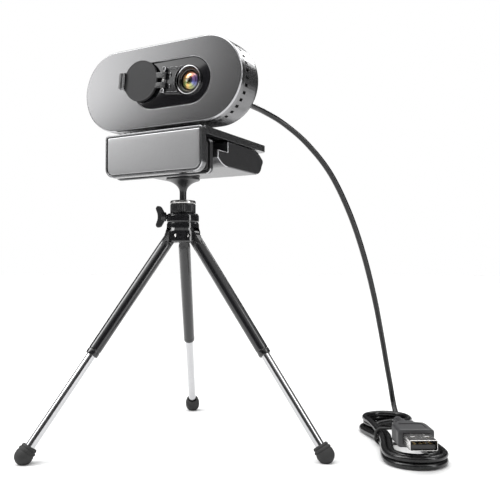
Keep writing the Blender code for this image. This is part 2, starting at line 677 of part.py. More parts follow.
def socket_collar(hub):
    low = HUB_TOP + GAP
    seat = BALL_RADIUS + GAP
    mouth = 0.0029
    inner = ball_arc(low - BALL_Z, mouth, seat, 4)
    profile = [(0.0066, low), (0.0066, 0.1236), (0.0060, 0.1245), (0.0054, 0.1245)] + inner[::-1]
    add("socket_collar", lathe(profile, 27, True), black_plastic(), hub)


def hub_body(hub):
    seat = BALL_RADIUS + GAP
    bowl = ball_arc(-seat * 0.985, HUB_TOP - BALL_Z, seat, 5)
    profile = [(0.0, HUB_BOTTOM), (0.0088, HUB_BOTTOM), (0.0090, HUB_BOTTOM + 0.0004), (0.0090, 0.1085),
               (0.0085, 0.1105), (0.0083, 0.1165), (0.0078, HUB_TOP)] + bowl[::-1] + [(0.0, bowl[0][1])]
    made = add("hub_body", lathe(profile, 27), black_plastic(), hub)
    slots, holes = [], []
    for turn in LEG_TURNS:
        slots.append(turned(box((0.0028, -0.0025, 0.100), (0.012, 0.0025, 0.1102)), radians(turn), "Z"))
        hole = shift(turned(rod(0.0010 + RUNNING, -0.0062, 0.0062, 12), radians(90), "X"),
                     LEG_PIVOT_R, 0.0, LEG_PIVOT_Z)
        holes.append(turned(hole, radians(turn), "Z"))
    cut(made, "hub_body_slots", merged(slots))
    cut(made, "hub_body_pin_holes", merged(holes))
    cut(made, "hub_body_screw_hole", turned(rod_x(0.0016, 0.0030, 0.012, 0.0, KNOB_Z), KNOB_TURN, "Z"))


def lock_knob(knob):
    """A small wing screw; its own X axis points out of the hub."""
    made = add("lock_knob", rod_x(0.0013, 0.0049, 0.0105), black_plastic(), knob)
    join(made, "lock_knob_head", rod_x(0.0024, 0.0088, 0.0108))
    wing = [(0.0092, -0.0012), (0.0116, -0.0056), (0.0136, -0.0056), (0.0142, -0.0046), (0.0130, 0.0),
            (0.0142, 0.0046), (0.0136, 0.0056), (0.0116, 0.0056), (0.0092, 0.0012)]
    join(made, "lock_knob_wing", prism(wing, -0.0010, 0.0010, "Y"))


def tripod_leg(number, turn, hub):
    """One leg, drawn hanging straight down from its pivot and then spread."""
    azimuth = radians(turn)
    reach = (LEG_PIVOT_Z - FOOT_BALL_Z) / cos(LEG_SPREAD)
    place = (LEG_PIVOT_R * cos(azimuth), LEG_PIVOT_R * sin(azimuth), LEG_PIVOT_Z)
    upper = empty(f"leg_fold_axis_{number}", place, hub, (0.0, -LEG_SPREAD, azimuth))
    lower = empty(f"leg_slide_axis_{number}", (0.0, 0.0, 0.0), upper)
    still = empty(f"leg_pin_place_{number}", place, hub, (0.0, 0.0, azimuth))
    pin = turned(rod(0.0010, -0.0058, 0.0058, 12), radians(90), "X")
    add(f"leg_pin_{number}", pin, steel(), still)

    tube = lathe([(0.0, -0.0050), (0.0027, -0.0050), (0.0031, -0.0055),
                  (0.0031, 0.0008 - UPPER_TUBE_END), (0.0030, -UPPER_TUBE_END),
                  (0.0025, -UPPER_TUBE_END), (0.0025, -0.0100), (0.0, -0.0100)], 20)
    made = add(f"leg_upper_{number}", tube, gloss_black(), upper)
    join(made, f"leg_upper_tongue_{number}", box((-0.0026, -0.0022, -0.0080), (0.0026, 0.0022, 0.0)))
    eye = turned(rod(0.0030, -0.0022, 0.0022, 20), radians(90), "X")
    join(made, f"leg_upper_eye_{number}", eye)
    hole = turned(rod(0.0010 + RUNNING, -0.005, 0.005, 12), radians(90), "X")
    cut(made, f"leg_upper_hole_{number}", hole)

    foot_top = reach - 0.0050
    tube_end = foot_top + 0.0036
    add(f"leg_lower_{number}", lathe([(0.0017, -0.0560), (0.0022, -0.0560), (0.0022, -tube_end),
                                      (0.0017, -tube_end)], 20, True), chrome(), lower)
    outer = [(0.0026, -foot_top), (0.0036, -foot_top), (0.0042, -foot_top - 0.0012), (0.0042, -reach)]
    steps = 4
    for i in range(1, steps):
        angle = pi / 2 * i / steps
        outer.append((FOOT_BALL_RADIUS * cos(angle), -reach - FOOT_BALL_RADIUS * sin(angle)))
    profile = outer + [(0.0, -reach - FOOT_BALL_RADIUS), (0.0, -tube_end - GAP), (0.0026, -tube_end - GAP)]
    shape = lathe(profile, 20, True)
    down = Matrix.Rotation(-LEG_SPREAD, 3, "Y").inverted() @ Vector((0.0, 0.0, -1.0))
    floor = down * LEG_PIVOT_Z
    found = bmesh.ops.bisect_plane(shape, geom=shape.verts[:] + shape.edges[:] + shape.faces[:], dist=1e-7,
                                   plane_co=floor, plane_no=down, clear_outer=True)
    rim = [part for part in found["geom_cut"] if isinstance(part, bmesh.types.BMEdge)]
    bmesh.ops.contextual_create(shape, geom=rim)
    add(f"leg_foot_{number}", shape, rubber(), lower)


# ---------------------------------------------------------------- cord
# The hank's own axes: +Y along it to the end where the lead comes in, X across it, Z up from the floor.

def smooth_route(points, spacing):
    """Evenly spaced points on a Catmull-Rom curve through the route."""
    path = [Vector(point) for point in points]
    path = [2 * path[0] - path[1]] + path + [2 * path[-1] - path[-2]]
    dense = []
    for a, b, c, d in zip(path, path[1:], path[2:], path[3:]):
        for i in range(24):
            t = i / 24
            dense.append(0.5 * (2 * b + (c - a) * t + (2 * a - 5 * b + 4 * c - d) * t ** 2
                                + (3 * b - a - 3 * c + d) * t ** 3))
    dense.append(path[-2])
    total = sum((b - a).length for a, b in zip(dense, dense[1:]))
    count = round(total / spacing)
    found, walked, target = [dense[0]], 0.0, total / count
    for a, b in zip(dense, dense[1:]):
        step = (b - a).length
        while walked + step >= target * len(found) and len(found) < count:
            found.append(a.lerp(b, (target * len(found) - walked) / step))
        walked += step
    return found + [dense[-1]]


def cord_lead():
    route = smooth_route(LEAD_ROUTE, LEAD_STEP)
    curve = bpy.data.curves.new("cord_lead", "CURVE")
    curve.dimensions = "3D"
    curve.bevel_depth = CORD_DIAMETER / 2
    curve.bevel_resolution = 2
    curve.use_fill_caps = True
    spline = curve.splines.new("POLY")
    spline.points.add(len(route) - 1)
    for point, place in zip(spline.points, route):
        point.co = (*place, 1.0)
    curve.materials.append(gloss_black())
    made = bpy.data.objects.new("cord_lead", curve)
    bpy.context.collection.objects.link(made)


def hank_pieces():
    hank = empty("hank_place", (*HANK_MIDDLE, 0.0), None, (0.0, 0.0, HANK_TURN - pi / 2))
    radius = HANK_WIDTH / 2
    straight = HANK_LENGTH / 2 - radius
    steps = 8
    side = []
    for i in range(1, steps):
        y = straight * (1 - 2 * i / steps)
        side.append((radius - HANK_WAIST * (1 - (y / straight) ** 2) ** 2, y))
    outline = arc((0.0, straight), radius, 180, 0, 12) + side
    outline += arc((0.0, -straight), radius, 0, -180, 12) + [(-x, y) for x, y in reversed(side)]
    top = 0.0001 + HANK_THICKNESS
    made = add("cord_hank", prism(outline, 0.0001, top, "Z"), gloss_black(), hank)
    groove, waist = 0.0005, radius - HANK_WAIST
    near, far, clear, above = TIE_ALONG - 0.0013, TIE_ALONG + 0.0013, radius + 0.001, top + 0.001
    ring = [box((-clear, near, -0.001), (clear, far, groove)),
            box((-clear, near, top - groove), (clear, far, above)),
            box((-clear, near, -0.001), (groove - waist, far, above)),
            box((waist - groove, near, -0.001), (clear, far, above))]
    for number, piece in enumerate(ring):
        cut(made, f"cord_hank_groove_{number}", piece)

    inner, outer = waist - groove + GAP, waist - groove + GAP + 0.0010
    low, high = groove - GAP, top - groove + GAP
    tie = add("cord_tie", box((-outer, TIE_ALONG - 0.0010, low - 0.0002),
                              (outer, TIE_ALONG + 0.0010, high + 0.0006)), rubber(), hank)
    cut(tie, "cord_tie_inside", box((-inner, TIE_ALONG - 0.002, low), (inner, TIE_ALONG + 0.002, high)))
    return hank, top


def usb_plug(hank, top):
    """The plug lies on the hank and points along -Y, past the hank's near end."""
    x, middle = PLUG_ACROSS, top + GAP + 0.0040
    mouth = PLUG_TAIL - 0.0360

    def block(half_x, half_z, along):
        corner = min(half_z - 0.0001, 0.0022)
        return [(x + a, PLUG_TAIL - along, middle + b) for a, b in rounded(half_x, half_z, (corner,) * 4)]
    body = loft([block(0.0026, 0.0026, 0.0), block(0.0030, 0.0028, 0.0070), block(0.0043, 0.0036, 0.0072),
                 block(0.0043, 0.0036, 0.0160), block(0.0078, 0.0040, 0.0205),
                 block(0.0082, 0.0040, 0.0230), block(0.0082, 0.0040, 0.0360)])
    made = add("plug_overmould", body, rubber(), hank)
    cut(made, "plug_overmould_socket", box((x - 0.0063, mouth - 0.001, middle - 0.00255),
                                           (x + 0.0063, mouth + 0.0060, middle + 0.00255)))
    shell = add("plug_shell", box((x - 0.0060, mouth - 0.0123, middle - 0.00225),
                                  (x + 0.0060, mouth + 0.0057, middle + 0.00225)), steel(), hank)
    cut(shell, "plug_shell_mouth", box((x - 0.0057, mouth - 0.0140, middle - 0.00195),
                                       (x + 0.0057, mouth + 0.0054, middle + 0.00195)))
    for side, label in ((-1, "left"), (1, "right")):
        across = x + side * 0.0031
        cut(shell, f"plug_shell_window_{label}", box((across - 0.0011, mouth - 0.0074, middle - 0.004),
                                                     (across + 0.0011, mouth - 0.0052, middle + 0.004)))
    add("plug_tongue", box((x - 0.0053, mouth - 0.0113, middle - 0.0016),
                           (x + 0.0053, mouth + 0.0050, middle + 0.0002)), black_plastic(), hank)


# ---------------------------------------------------------------- assembly

def build():
    clear_scene()
    hub = empty("tripod", (TRIPOD_X, 0.0, 0.0))
    hub_body(hub)
    socket_collar(hub)
    lock_knob(empty("lock_knob_axis", (0.0, 0.0, KNOB_Z), hub, (0.0, 0.0, KNOB_TURN)))
    for number, turn in enumerate(LEG_TURNS, 1):
        tripod_leg(number, turn, hub)

    ball = empty("ball_tilt_axis", (0.0, 0.0, BALL_Z), hub)
    ball_stud(ball)
    arm = empty("mount_turn_axis", (0.0, 0.0, ARM_BOTTOM - BALL_Z), ball)
    lower_arm(arm)
    foot(empty("foot_pivot_axis", (0.0, FOOT_PIVOT_Y, FOOT_PIVOT_Z - ARM_BOTTOM), arm))
    clip = empty("clip_axis", (0.0, CLIP_HINGE_Y, CLIP_HINGE_Z - ARM_BOTTOM), arm)
    upper_arm(clip)
    clip_pin(clip)
    neck = empty("neck_swivel_axis", (0.0, NECK_Y - CLIP_HINGE_Y, PLATE_TOP - CLIP_HINGE_Z), clip)
    tilt = empty("head_tilt_axis", (0.0, 0.0, TILT_Z - PLATE_TOP), neck)
    head = empty("head_middle", (0.0, FACE_Y - NECK_Y, HEAD_Z - TILT_Z), tilt)
    neck_pieces(neck, head)
    front_cover(head)
    front_window(head)
    lens_pieces(head)
    sensor_and_board(head)
    rear_shell(head)
    cord_gland(head)
    fixed, moving = cover_hinge(head)
    cover_bracket(fixed)
    privacy_cover(moving)

    cord_lead()
    hank, top = hank_pieces()
    usb_plug(hank, top)


build()
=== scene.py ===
"""The looks of the webcam on its mini tripod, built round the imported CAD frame. Metres, +Z up, the lens
looks along -Y. Detailed pieces take the CAD nodes' places and keep their sizes."""
from math import acos, atan2, cos, pi, radians, sin, sqrt, tan

import bmesh
import bpy
from mathutils import Matrix, Vector


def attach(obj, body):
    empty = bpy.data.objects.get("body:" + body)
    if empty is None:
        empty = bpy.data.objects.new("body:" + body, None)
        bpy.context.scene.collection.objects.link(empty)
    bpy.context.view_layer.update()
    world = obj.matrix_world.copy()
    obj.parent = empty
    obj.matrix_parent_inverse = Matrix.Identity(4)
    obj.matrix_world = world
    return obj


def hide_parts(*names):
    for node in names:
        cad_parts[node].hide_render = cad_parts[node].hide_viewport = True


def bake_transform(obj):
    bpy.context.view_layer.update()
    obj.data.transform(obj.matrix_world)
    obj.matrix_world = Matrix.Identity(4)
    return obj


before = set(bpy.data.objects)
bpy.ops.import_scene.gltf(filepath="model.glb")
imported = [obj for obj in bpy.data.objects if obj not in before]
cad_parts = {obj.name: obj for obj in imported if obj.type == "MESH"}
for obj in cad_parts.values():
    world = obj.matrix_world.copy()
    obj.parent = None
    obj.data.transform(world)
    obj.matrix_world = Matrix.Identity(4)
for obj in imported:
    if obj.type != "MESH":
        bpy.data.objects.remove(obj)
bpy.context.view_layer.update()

# ---------------------------------------------------------------- sizes, as in the CAD source
HEAD_WIDTH, HEAD_HEIGHT, HEAD_DEPTH = 0.095, 0.0416, 0.022
HEAD_Z, FACE_Y = 0.180, -0.0215
HEAD_STRAIGHT, HEAD_RADIUS = (HEAD_WIDTH - HEAD_HEIGHT) / 2, HEAD_HEIGHT / 2
COVER_DEPTH = 0.003
REAR_ROUNDING = 0.008
VENT_PITCH = 0.0036
VENT_SIZE = (0.0015, 0.0024)
GAP = 0.0003
WINDOW_X, WINDOW_WIDTH, WINDOW_HEIGHT = 0.0075, 0.0454, 0.0229
LENS_X, RING_RADIUS = 0.0183, 0.0070
SCREW_X = 0.040
CORD_DIAMETER = 0.0031
CORD_EXIT_X, CORD_EXIT_DROP, GLAND_REACH = 0.030, 0.005, 0.013
COVER_LEAN, COVER_ARM, COVER_RADIUS, COVER_HINGE_Y = radians(6), 0.0142, 0.01035, -0.00175
BRACKET_HALF = 0.0067
NECK_Y, NECK_WIDTH, TILT_Z, KNUCKLE_RADIUS = -0.0085, 0.0174, 0.1642, 0.0046
CLIP_WIDTH, PLATE_TOP, PLATE_THICKNESS = 0.0586, 0.1564, 0.0036
LIP_HEIGHT, LIP_FRONT, LIP_INNER, PLATE_BACK = 0.0217, -0.027, -0.023, 0.037
HINGE_Y, HINGE_Z, HINGE_RADIUS = 0.0315, 0.149, 0.0035
ARM_WIDTH, ARM_BOTTOM, ARM_TOP = 0.058, 0.1394, 0.1522
FOOT_Y, FOOT_Z, FOOT_HALF = -0.0146, 0.143, 0.0085
BALL_Z, BALL_RADIUS = 0.1195, 0.0049
PLATFORM_TOP, PLATFORM_RADIUS, STUD_RADIUS = 0.138, 0.0087, 0.0030
HUB_BOTTOM, HUB_TOP = 0.1025, 0.1175
KNOB_Z, KNOB_TURN = 0.116, 210
LEG_PIVOT_R, LEG_PIVOT_Z, LEG_SPREAD, LEG_TURNS = 0.0065, 0.106, radians(35.5), (0, 120, 240)
UPPER_TUBE_END, FOOT_BALL_Z, FOOT_BALL_RADIUS = 0.072, 0.0036, 0.0042
FOOT_REACH = LEG_PIVOT_R + (LEG_PIVOT_Z - FOOT_BALL_Z) * tan(LEG_SPREAD) + FOOT_BALL_RADIUS
TRIPOD_X = (HEAD_WIDTH / 2 - FOOT_REACH) / 2
HANK_MIDDLE, HANK_TURN = (0.0820, 0.0468), radians(120)
HANK_LENGTH, HANK_WIDTH, HANK_THICKNESS, HANK_LOW = 0.090, 0.030, 0.0089, 0.0001
TIE_ALONG, PLUG_ACROSS, PLUG_TAIL = 0.001, -0.0020, -0.0045
PLUG_Z = HANK_LOW + HANK_THICKNESS + GAP + 0.0040

LEAD_ROUTE = (
    (0.01188, 0.01380, 0.1750),
    (0.0120, 0.0200, 0.1749),
    (0.0136, 0.0310, 0.1738),
    (0.0190, 0.0430, 0.1693),
    (0.0280, 0.0540, 0.1592),
    (0.0378, 0.0645, 0.1430),
    (0.0455, 0.0742, 0.1210),
    (0.0508, 0.0830, 0.0970),
    (0.0542, 0.0915, 0.0720),
    (0.0560, 0.0995, 0.0485),
    (0.0571, 0.1052, 0.0310),
    (0.0585, 0.1075, 0.0190),
    (0.0606, 0.1062, 0.0092),
    (0.0636, 0.1020, 0.0036),
    (0.06725, 0.09686, 0.0018),
    (0.07164, 0.08946, 0.00165),
)

# Where along the lead it passes from one body to the next: head, neck, clip, arm, ball, tripod.
LEAD_SHARES = (0.0, 0.17, 0.34, 0.51, 0.83, 1.0)

# Spacing of the cord's points before and after the hank begins, and the height where it begins.
LEAD_STEP, HANK_STEP, LANDING_Z = 0.0030, 0.0025, 0.030

# ---------------------------------------------------------------- camera
CAMERA_TURN = radians(29)
CAMERA_DISTANCE = 0.345
CAMERA_HEIGHT = 0.088
CAMERA_AIM = (0.0165, 0.0095, 0.0985)


def in_scene(name, data):
    made = bpy.data.objects.new(name, data)
    bpy.context.scene.collection.objects.link(made)
    return made


def camera():
    data = bpy.data.cameras.new("camera")
    data.sensor_width = 36.0
    data.lens = 49.0
    made = in_scene("camera", data)
    aim = Vector(CAMERA_AIM)
    made.location = (aim.x + CAMERA_DISTANCE * sin(CAMERA_TURN), aim.y - CAMERA_DISTANCE * cos(CAMERA_TURN),
                     CAMERA_HEIGHT)
    made.rotation_euler = (aim - Vector(made.location)).to_track_quat("-Z", "Y").to_euler()
    bpy.context.scene.camera = made


camera()


# ---------------------------------------------------------------- shapes
# How near two points are one after a Boolean, how near a point is on an axis or a plane, and how little,
# in radians, an outline may turn at a point that isn't a corner.
WELD, CLOSE, NEARLY_STRAIGHT = 0.000001, 0.0000001, 0.12


def shift(shape, x=0.0, y=0.0, z=0.0):
    bmesh.ops.translate(shape, verts=shape.verts, vec=(x, y, z))
    return shape


def turned(shape, degrees, axis):
    """The shape turned about an axis through its origin."""
    bmesh.ops.rotate(shape, verts=shape.verts, matrix=Matrix.Rotation(radians(degrees), 3, axis))
    return shape


def bridge(shape, low, high, open_at=()):
    """Faces between two closed rows of corners, apart from those that are left open."""
    for i in range(len(low)):
        if i not in open_at:
            j = (i + 1) % len(low)
            shape.faces.new((low[i], low[j], high[j], high[i]))


def loft(sections, ring=False):
    """Joins outlines with the same number of points. A ring closes on itself; else both ends are capped."""
    shape = bmesh.new()
    rows = [[shape.verts.new(point) for point in section] for section in sections]
    pairs = list(zip(rows, rows[1:]))
    if ring:
        pairs.append((rows[-1], rows[0]))
    else:
        shape.faces.new(rows[0])
        shape.faces.new(rows[-1])
    for low, high in pairs:
        bridge(shape, low, high)
    return shape


def prism(outline, low, high, along):
    """An outline in the other two axes, in their X, Y, Z order, extruded from low to high."""
    axis = "XYZ".index(along)
    return loft([[(*point[:axis], level, *point[axis:]) for point in outline] for level in (low, high)])


def box(low, high):
    return prism([(low[0], low[1]), (high[0], low[1]), (high[0], high[1]), (low[0], high[1])],
                 low[2], high[2], "Z")


def lathe(profile, segments=64, ring=False):
    """Turns (radius, height) points about Z. A ring's profile is a closed loop; else it starts and
    ends at radius 0."""
    shape = bmesh.new()
    rows = []
    angles = [2 * pi * i / segments for i in range(segments)]
    for radius, height in profile:
        around = angles if radius > CLOSE else angles[:1]
        rows.append([shape.verts.new((radius * cos(a), radius * sin(a), height)) for a in around])
    pairs = list(zip(rows, rows[1:]))
    if ring:
        pairs.append((rows[-1], rows[0]))
    for low, high in pairs:
        for i in range(segments):
            j = (i + 1) % segments
            corners = [low[i % len(low)], low[j % len(low)], high[j % len(high)], high[i % len(high)]]
            unique = list(dict.fromkeys(corners))
            if len(unique) > 2:
                shape.faces.new(unique)
    return shape


def both_sides(near, far):
    """A range along X or Z and its mirror image, each from low to high."""
    return ((-far, -near), (near, far))


def rod(radius, low, high, segments=32, edge=0.0):
    profile = [(0.0, low), (radius, low), (radius, high), (0.0, high)]
    return lathe(fillet(profile, edge) if edge else profile, segments)


def rod_x(radius, low, high, y=0.0, z=0.0, segments=32, edge=0.0):
    return shift(turned(rod(radius, low, high, segments, edge), 90, "Y"), 0.0, y, z)


def into_head(shape, x=0.0, z=0.0):
    """Lays a lathe's axis along +Y."""
    return shift(turned(shape, -90, "X"), x, 0.0, z)


def arc(middle, radius, start, end, steps):
    """Points of an arc, angles in degrees, both ends included."""
    found = []
    for i in range(steps + 1):
        angle = radians(start + (end - start) * i / steps)
        found.append((middle[0] + radius * cos(angle), middle[1] + radius * sin(angle)))
    return found


def stadium(half_straight, radius, x=0.0, z=0.0, steps=48):
    return (arc((x + half_straight, z), radius, -90, 90, steps)
            + arc((x - half_straight, z), radius, 90, 270, steps))


def rounded(half_x, half_y, radii, x=0.0, y=0.0, steps=8):
    """A rectangle with its four corner radii, from the upper right one round to the lower right one."""
    points = []
    for quarter, (sx, sy) in enumerate(((1, 1), (-1, 1), (-1, -1), (1, -1))):
        r = radii[quarter]
        middle = (x + sx * (half_x - r), y + sy * (half_y - r))
        points += arc(middle, r, 90 * quarter, 90 * quarter + 90, steps)
    return points


def fillet(points, radius, closed=False, steps=4):
    """Rounds an outline's corners. An open outline keeps its two ends."""
    count = len(points)
    found = []
    for i, point in enumerate(points):
        if not closed and i in (0, count - 1):
            found.append(tuple(point))
            continue
        a, b, c = Vector(points[i - 1]), Vector(point), Vector(points[(i + 1) % count])
        u, v = a - b, c - b
        if pi - u.angle(v) < NEARLY_STRAIGHT:
            found.append(tuple(point))
            continue
        reach = min(radius, 0.45 * u.length, 0.45 * v.length)
        start, end = b + u.normalized() * reach, b + v.normalized() * reach
        for k in range(steps + 1):
            t = k / steps
            found.append(tuple(start * (1 - t) ** 2 + 2 * b * t * (1 - t) + end * t * t))
    return found


def teeth(count, start, end, tooth, slope=0.0):
    """A profile's run of teeth. Each is (level, share of the pitch) points; slope is the last one's rise."""
    pitch = (end - start) / count
    return [(level + slope * i / (count - 1), start + (i + share) * pitch)
            for i in range(count) for level, share in tooth]


def at_depth(outline, y):
    """An (x, z) outline as a section at one depth."""
    return [(x, y, z) for x, z in outline]


def held(shape):
    """An unseen object that holds a shape while a modifier works on it."""
    bmesh.ops.recalc_face_normals(shape, faces=shape.faces)
    mesh = bpy.data.meshes.new("work")
    shape.to_mesh(mesh)
    shape.free()
    return in_scene("work", mesh)


def changed(shape, kind, tool=None, **settings):
    """The shape after one modifier."""
    base = held(shape)
    helper = held(tool) if tool is not None else None
    step = base.modifiers.new("step", kind)
    for key, value in settings.items():
        setattr(step, key, value)
    if helper:
        step.object = helper
    seen = base.evaluated_get(bpy.context.evaluated_depsgraph_get())
    result = bmesh.new()
    result.from_mesh(seen.to_mesh())
    seen.to_mesh_clear()
    for used in (base, helper):
        if used:
            bpy.data.objects.remove(used, do_unlink=True)
    return result


def combined(shape, tool, operation):
    """A Boolean, with the slivers welded that it leaves where two surfaces touch."""
    result = changed(shape, "BOOLEAN", tool, operation=operation, solver="EXACT")
    bmesh.ops.remove_doubles(result, verts=result.verts, dist=WELD)
    bmesh.ops.dissolve_degenerate(result, edges=result.edges, dist=WELD)
    return result


def minus(shape, tool):
    return combined(shape, tool, "DIFFERENCE")


def plus(shape, tool):
    return combined(shape, tool, "UNION")


def softened(shape, width, segments=3, angle=40):
    return changed(shape, "BEVEL", width=width, segments=segments, limit_method="ANGLE",
                   angle_limit=radians(angle), use_clamp_overlap=True)


def together(shapes):
    whole = bmesh.new()
    for shape in shapes:
        bmesh.ops.recalc_face_normals(shape, faces=shape.faces)
        mesh = bpy.data.meshes.new("work")
        shape.to_mesh(mesh)
        shape.free()
        whole.from_mesh(mesh)
        bpy.data.meshes.remove(mesh)
    return whole


def shaped(name, shape, look, place, slot=None, sharp=38, edges=None):
    """A finished object: its mesh is in its own axes, and place puts them in the frame.
    edges names the axis whose small chamfers get a second, lighter material, a painted highlight. slot is not
    used."""
    bmesh.ops.recalc_face_normals(shape, faces=shape.faces)
    # Narrow chamfer faces that lean away from the axis take the lighter edge material: a painted highlight.
    if edges:
        axis, square, flat, narrow = "XYZ".index(edges), 0.2, 0.96, 0.000004
        for face in shape.faces:
            face.normal_update()
            if square < abs(face.normal[axis]) < flat and face.calc_area() < narrow:
                face.material_index = 1
    mesh = bpy.data.meshes.new(name)
    shape.to_mesh(mesh)
    shape.free()
    mesh.materials.append(look)
    if edges:
        mesh.materials.append(PAINTED_EDGE_HIGHLIGHT)
    mesh.shade_smooth()
    mesh.set_sharp_from_angle(angle=radians(sharp))
    made = in_scene(name, mesh)
    made.matrix_world = place
    even = made.modifiers.new("even_normals", "WEIGHTED_NORMAL")
    even.keep_sharp = True
    return made


def piece(name, shape, look, body, place, *replaces, **finish):
    """A finished object that rides on a body, in the place of the CAD nodes named."""
    made = shaped(name, shape, look, place, **finish)
    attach(made, body)
    if replaces:
        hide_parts(*replaces)
    return made


# ---------------------------------------------------------------- materials


def node(tree, kind, **inputs):
    """A new shader node. An input takes a number or a colour, or the output of another node."""
    made = tree.nodes.new(f"ShaderNode{kind}")
    for key, value in inputs.items():
        socket = made.inputs[key.replace("_", " ")]
        if isinstance(value, bpy.types.NodeSocket):
            tree.links.new(value, socket)
        else:
            socket.default_value = value
    return made


def ramp(tree, factor, stops, blend="EASE"):
    """The colour output of a ramp through (place, colour) stops."""
    made = node(tree, "ValToRGB", Fac=factor)
    made.color_ramp.interpolation = blend
    elements = made.color_ramp.elements
    while len(elements) < len(stops):
        elements.new(0.5)
    for element, (at, colour) in zip(elements, stops):
        element.position = at
        element.color = (*colour, 1.0)
    return made.outputs["Color"]


def material(name, slot, **settings):
    """A new material, its node tree and its shader."""
    made = bpy.data.materials.new(name)
    made.use_nodes = True
    shader = made.node_tree.nodes["Principled BSDF"]
    for key, value in settings.items():
        shader.inputs[key.replace("_", " ")].default_value = value
    return made, made.node_tree, shader


def surface(name, slot, colour, roughness, metallic=0.0, coat=0.0, grain=5200, vary=0.08, spread=0.05,
            bump=3, stretch=(1.0, 1.0, 1.0), specular=0.5):
    """A fine grain in the colour, the roughness and the relief, whose depth is in micrometres."""
    made, tree, shader = material(name, slot, Metallic=metallic, Specular_IOR_Level=specular,
                                  Coat_Weight=coat, Coat_Roughness=0.04)
    where = node(tree, "TexCoord").outputs["Object"]
    scaled = node(tree, "Mapping", Vector=where, Scale=stretch).outputs["Vector"]
    noise = node(tree, "TexNoise", Vector=scaled, Scale=grain, Detail=3.0).outputs["Fac"]
    dark, light = 0.3, 0.7
    stops = [(dark, [c * (1 - vary) for c in colour]), (light, [min(1.0, c * (1 + vary)) for c in colour])]
    tree.links.new(ramp(tree, noise, stops, "LINEAR"), shader.inputs["Base Color"])
    rough = node(tree, "MapRange", Value=noise, From_Min=dark, From_Max=light,
                 To_Min=max(0.0, roughness - spread), To_Max=min(1.0, roughness + spread))
    tree.links.new(rough.outputs["Result"], shader.inputs["Roughness"])
    if bump:
        relief = node(tree, "Bump", Height=noise, Strength=1.0, Distance=bump * 1e-6)
        tree.links.new(relief.outputs["Normal"], shader.inputs["Normal"])
    return made


SATIN = surface("satin_metallic", "satin_grey", (0.20, 0.20, 0.203), 0.21, 0.92, vary=0.10, spread=0.03)
SHELL = surface("shell_metallic", "satin_grey", (0.17, 0.17, 0.173), 0.25, 0.9, spread=0.03, bump=1.5)
LIP = surface("lip_metallic", "satin_grey", (0.36, 0.36, 0.365), 0.32, 0.9)
ARM = surface("arm_satin", "satin_grey", (0.11, 0.11, 0.113), 0.30, 0.85, vary=0.10)
# A lighter grey for the narrow chamfers that shaped() picks out: a painted highlight along the edges.
PAINTED_EDGE_HIGHLIGHT = surface("painted_edge_highlight", None, (0.42, 0.42, 0.43), 0.22, 0.9, spread=0.04, bump=1)
WINDOW = surface("window_gloss", "window_black", (0.004, 0.004, 0.005), 0.035, coat=1.0, grain=60, vary=0.2,
                 spread=0.012, bump=0)
GLOSS = surface("gloss_black", "gloss_black", (0.008, 0.008, 0.009), 0.12, coat=0.6, grain=900, vary=0.2,
                spread=0.04, bump=2)
MOULD = surface("moulded_black", "moulded_black", (0.012, 0.012, 0.013), 0.34, grain=4200, vary=0.25,
                spread=0.07, bump=8)
SOFT_PANEL = surface("soft_panel", "pad_rubber", (0.030, 0.030, 0.031), 0.50, grain=4200, vary=0.15,
                     spread=0.06, bump=8)
RUBBER = surface("rubber_black", "pad_rubber", (0.016, 0.016, 0.016), 0.72, grain=2600, vary=0.2,
                 spread=0.08, bump=14)
DISC = surface("cover_grey", "cover_grey", (0.023, 0.023, 0.024), 0.55, specular=0.35, vary=0.12, bump=6)
# The cover's grey made lighter for the hinge knuckles: a lit copy, painted light for their curved faces.
LIT_KNUCKLE_GREY = surface("knuckle_grey_painted_lit", "cover_grey", (0.040, 0.040, 0.041), 0.34, vary=0.12, bump=4)
STEEL = surface("turned_steel", "fasteners", (0.62, 0.61, 0.60), 0.24, 1.0, grain=2600, spread=0.06)
RING = surface("ring_steel", "lens_metal", (0.50, 0.50, 0.51), 0.20, 1.0, grain=2600, bump=2)
CHROME = surface("chromed_tube", "chromed_tube", (0.50, 0.50, 0.51), 0.14, 1.0, grain=700, vary=0.03,
                 spread=0.03, bump=1.5)
LACQUER = surface("lacquered_tube", "lacquered_tube", (0.006, 0.006, 0.007), 0.20, coat=0.4, grain=700,
                  vary=0.2, spread=0.03)
CORD = surface("cord_sheath", "cord_black", (0.006, 0.006, 0.0065), 0.24, coat=0.1, specular=0.4, grain=1300,
               vary=0.2, bump=6)
PLUG_BLACK = surface("plug_moulding", "plug_black", (0.030, 0.030, 0.032), 0.46, grain=3800, vary=0.18,
                     spread=0.07, bump=10)
PLUG_STEEL = surface("plug_shell_steel", "plug_steel", (0.72, 0.71, 0.70), 0.22, 1.0, grain=2200, vary=0.06,
                     spread=0.07, stretch=(1.0, 0.08, 1.0))
TONGUE = surface("plug_tongue_black", "plug_black", (0.02, 0.02, 0.02), 0.5, grain=2600, vary=0.12,
                 spread=0.04, bump=6)
GOLD = surface("contact_gold", "plug_steel", (0.80, 0.58, 0.26), 0.28, 1.0, grain=2200, vary=0.06,
               spread=0.06, bump=6)
CHIP = surface("chip_black", "electronics_black", (0.015, 0.015, 0.015), 0.4, grain=3000, vary=0.12,
               spread=0.04, bump=6)
BOARD = surface("solder_mask", "board_green", (0.01, 0.09, 0.035), 0.35, grain=900, vary=0.3, spread=0.08,
                bump=20)


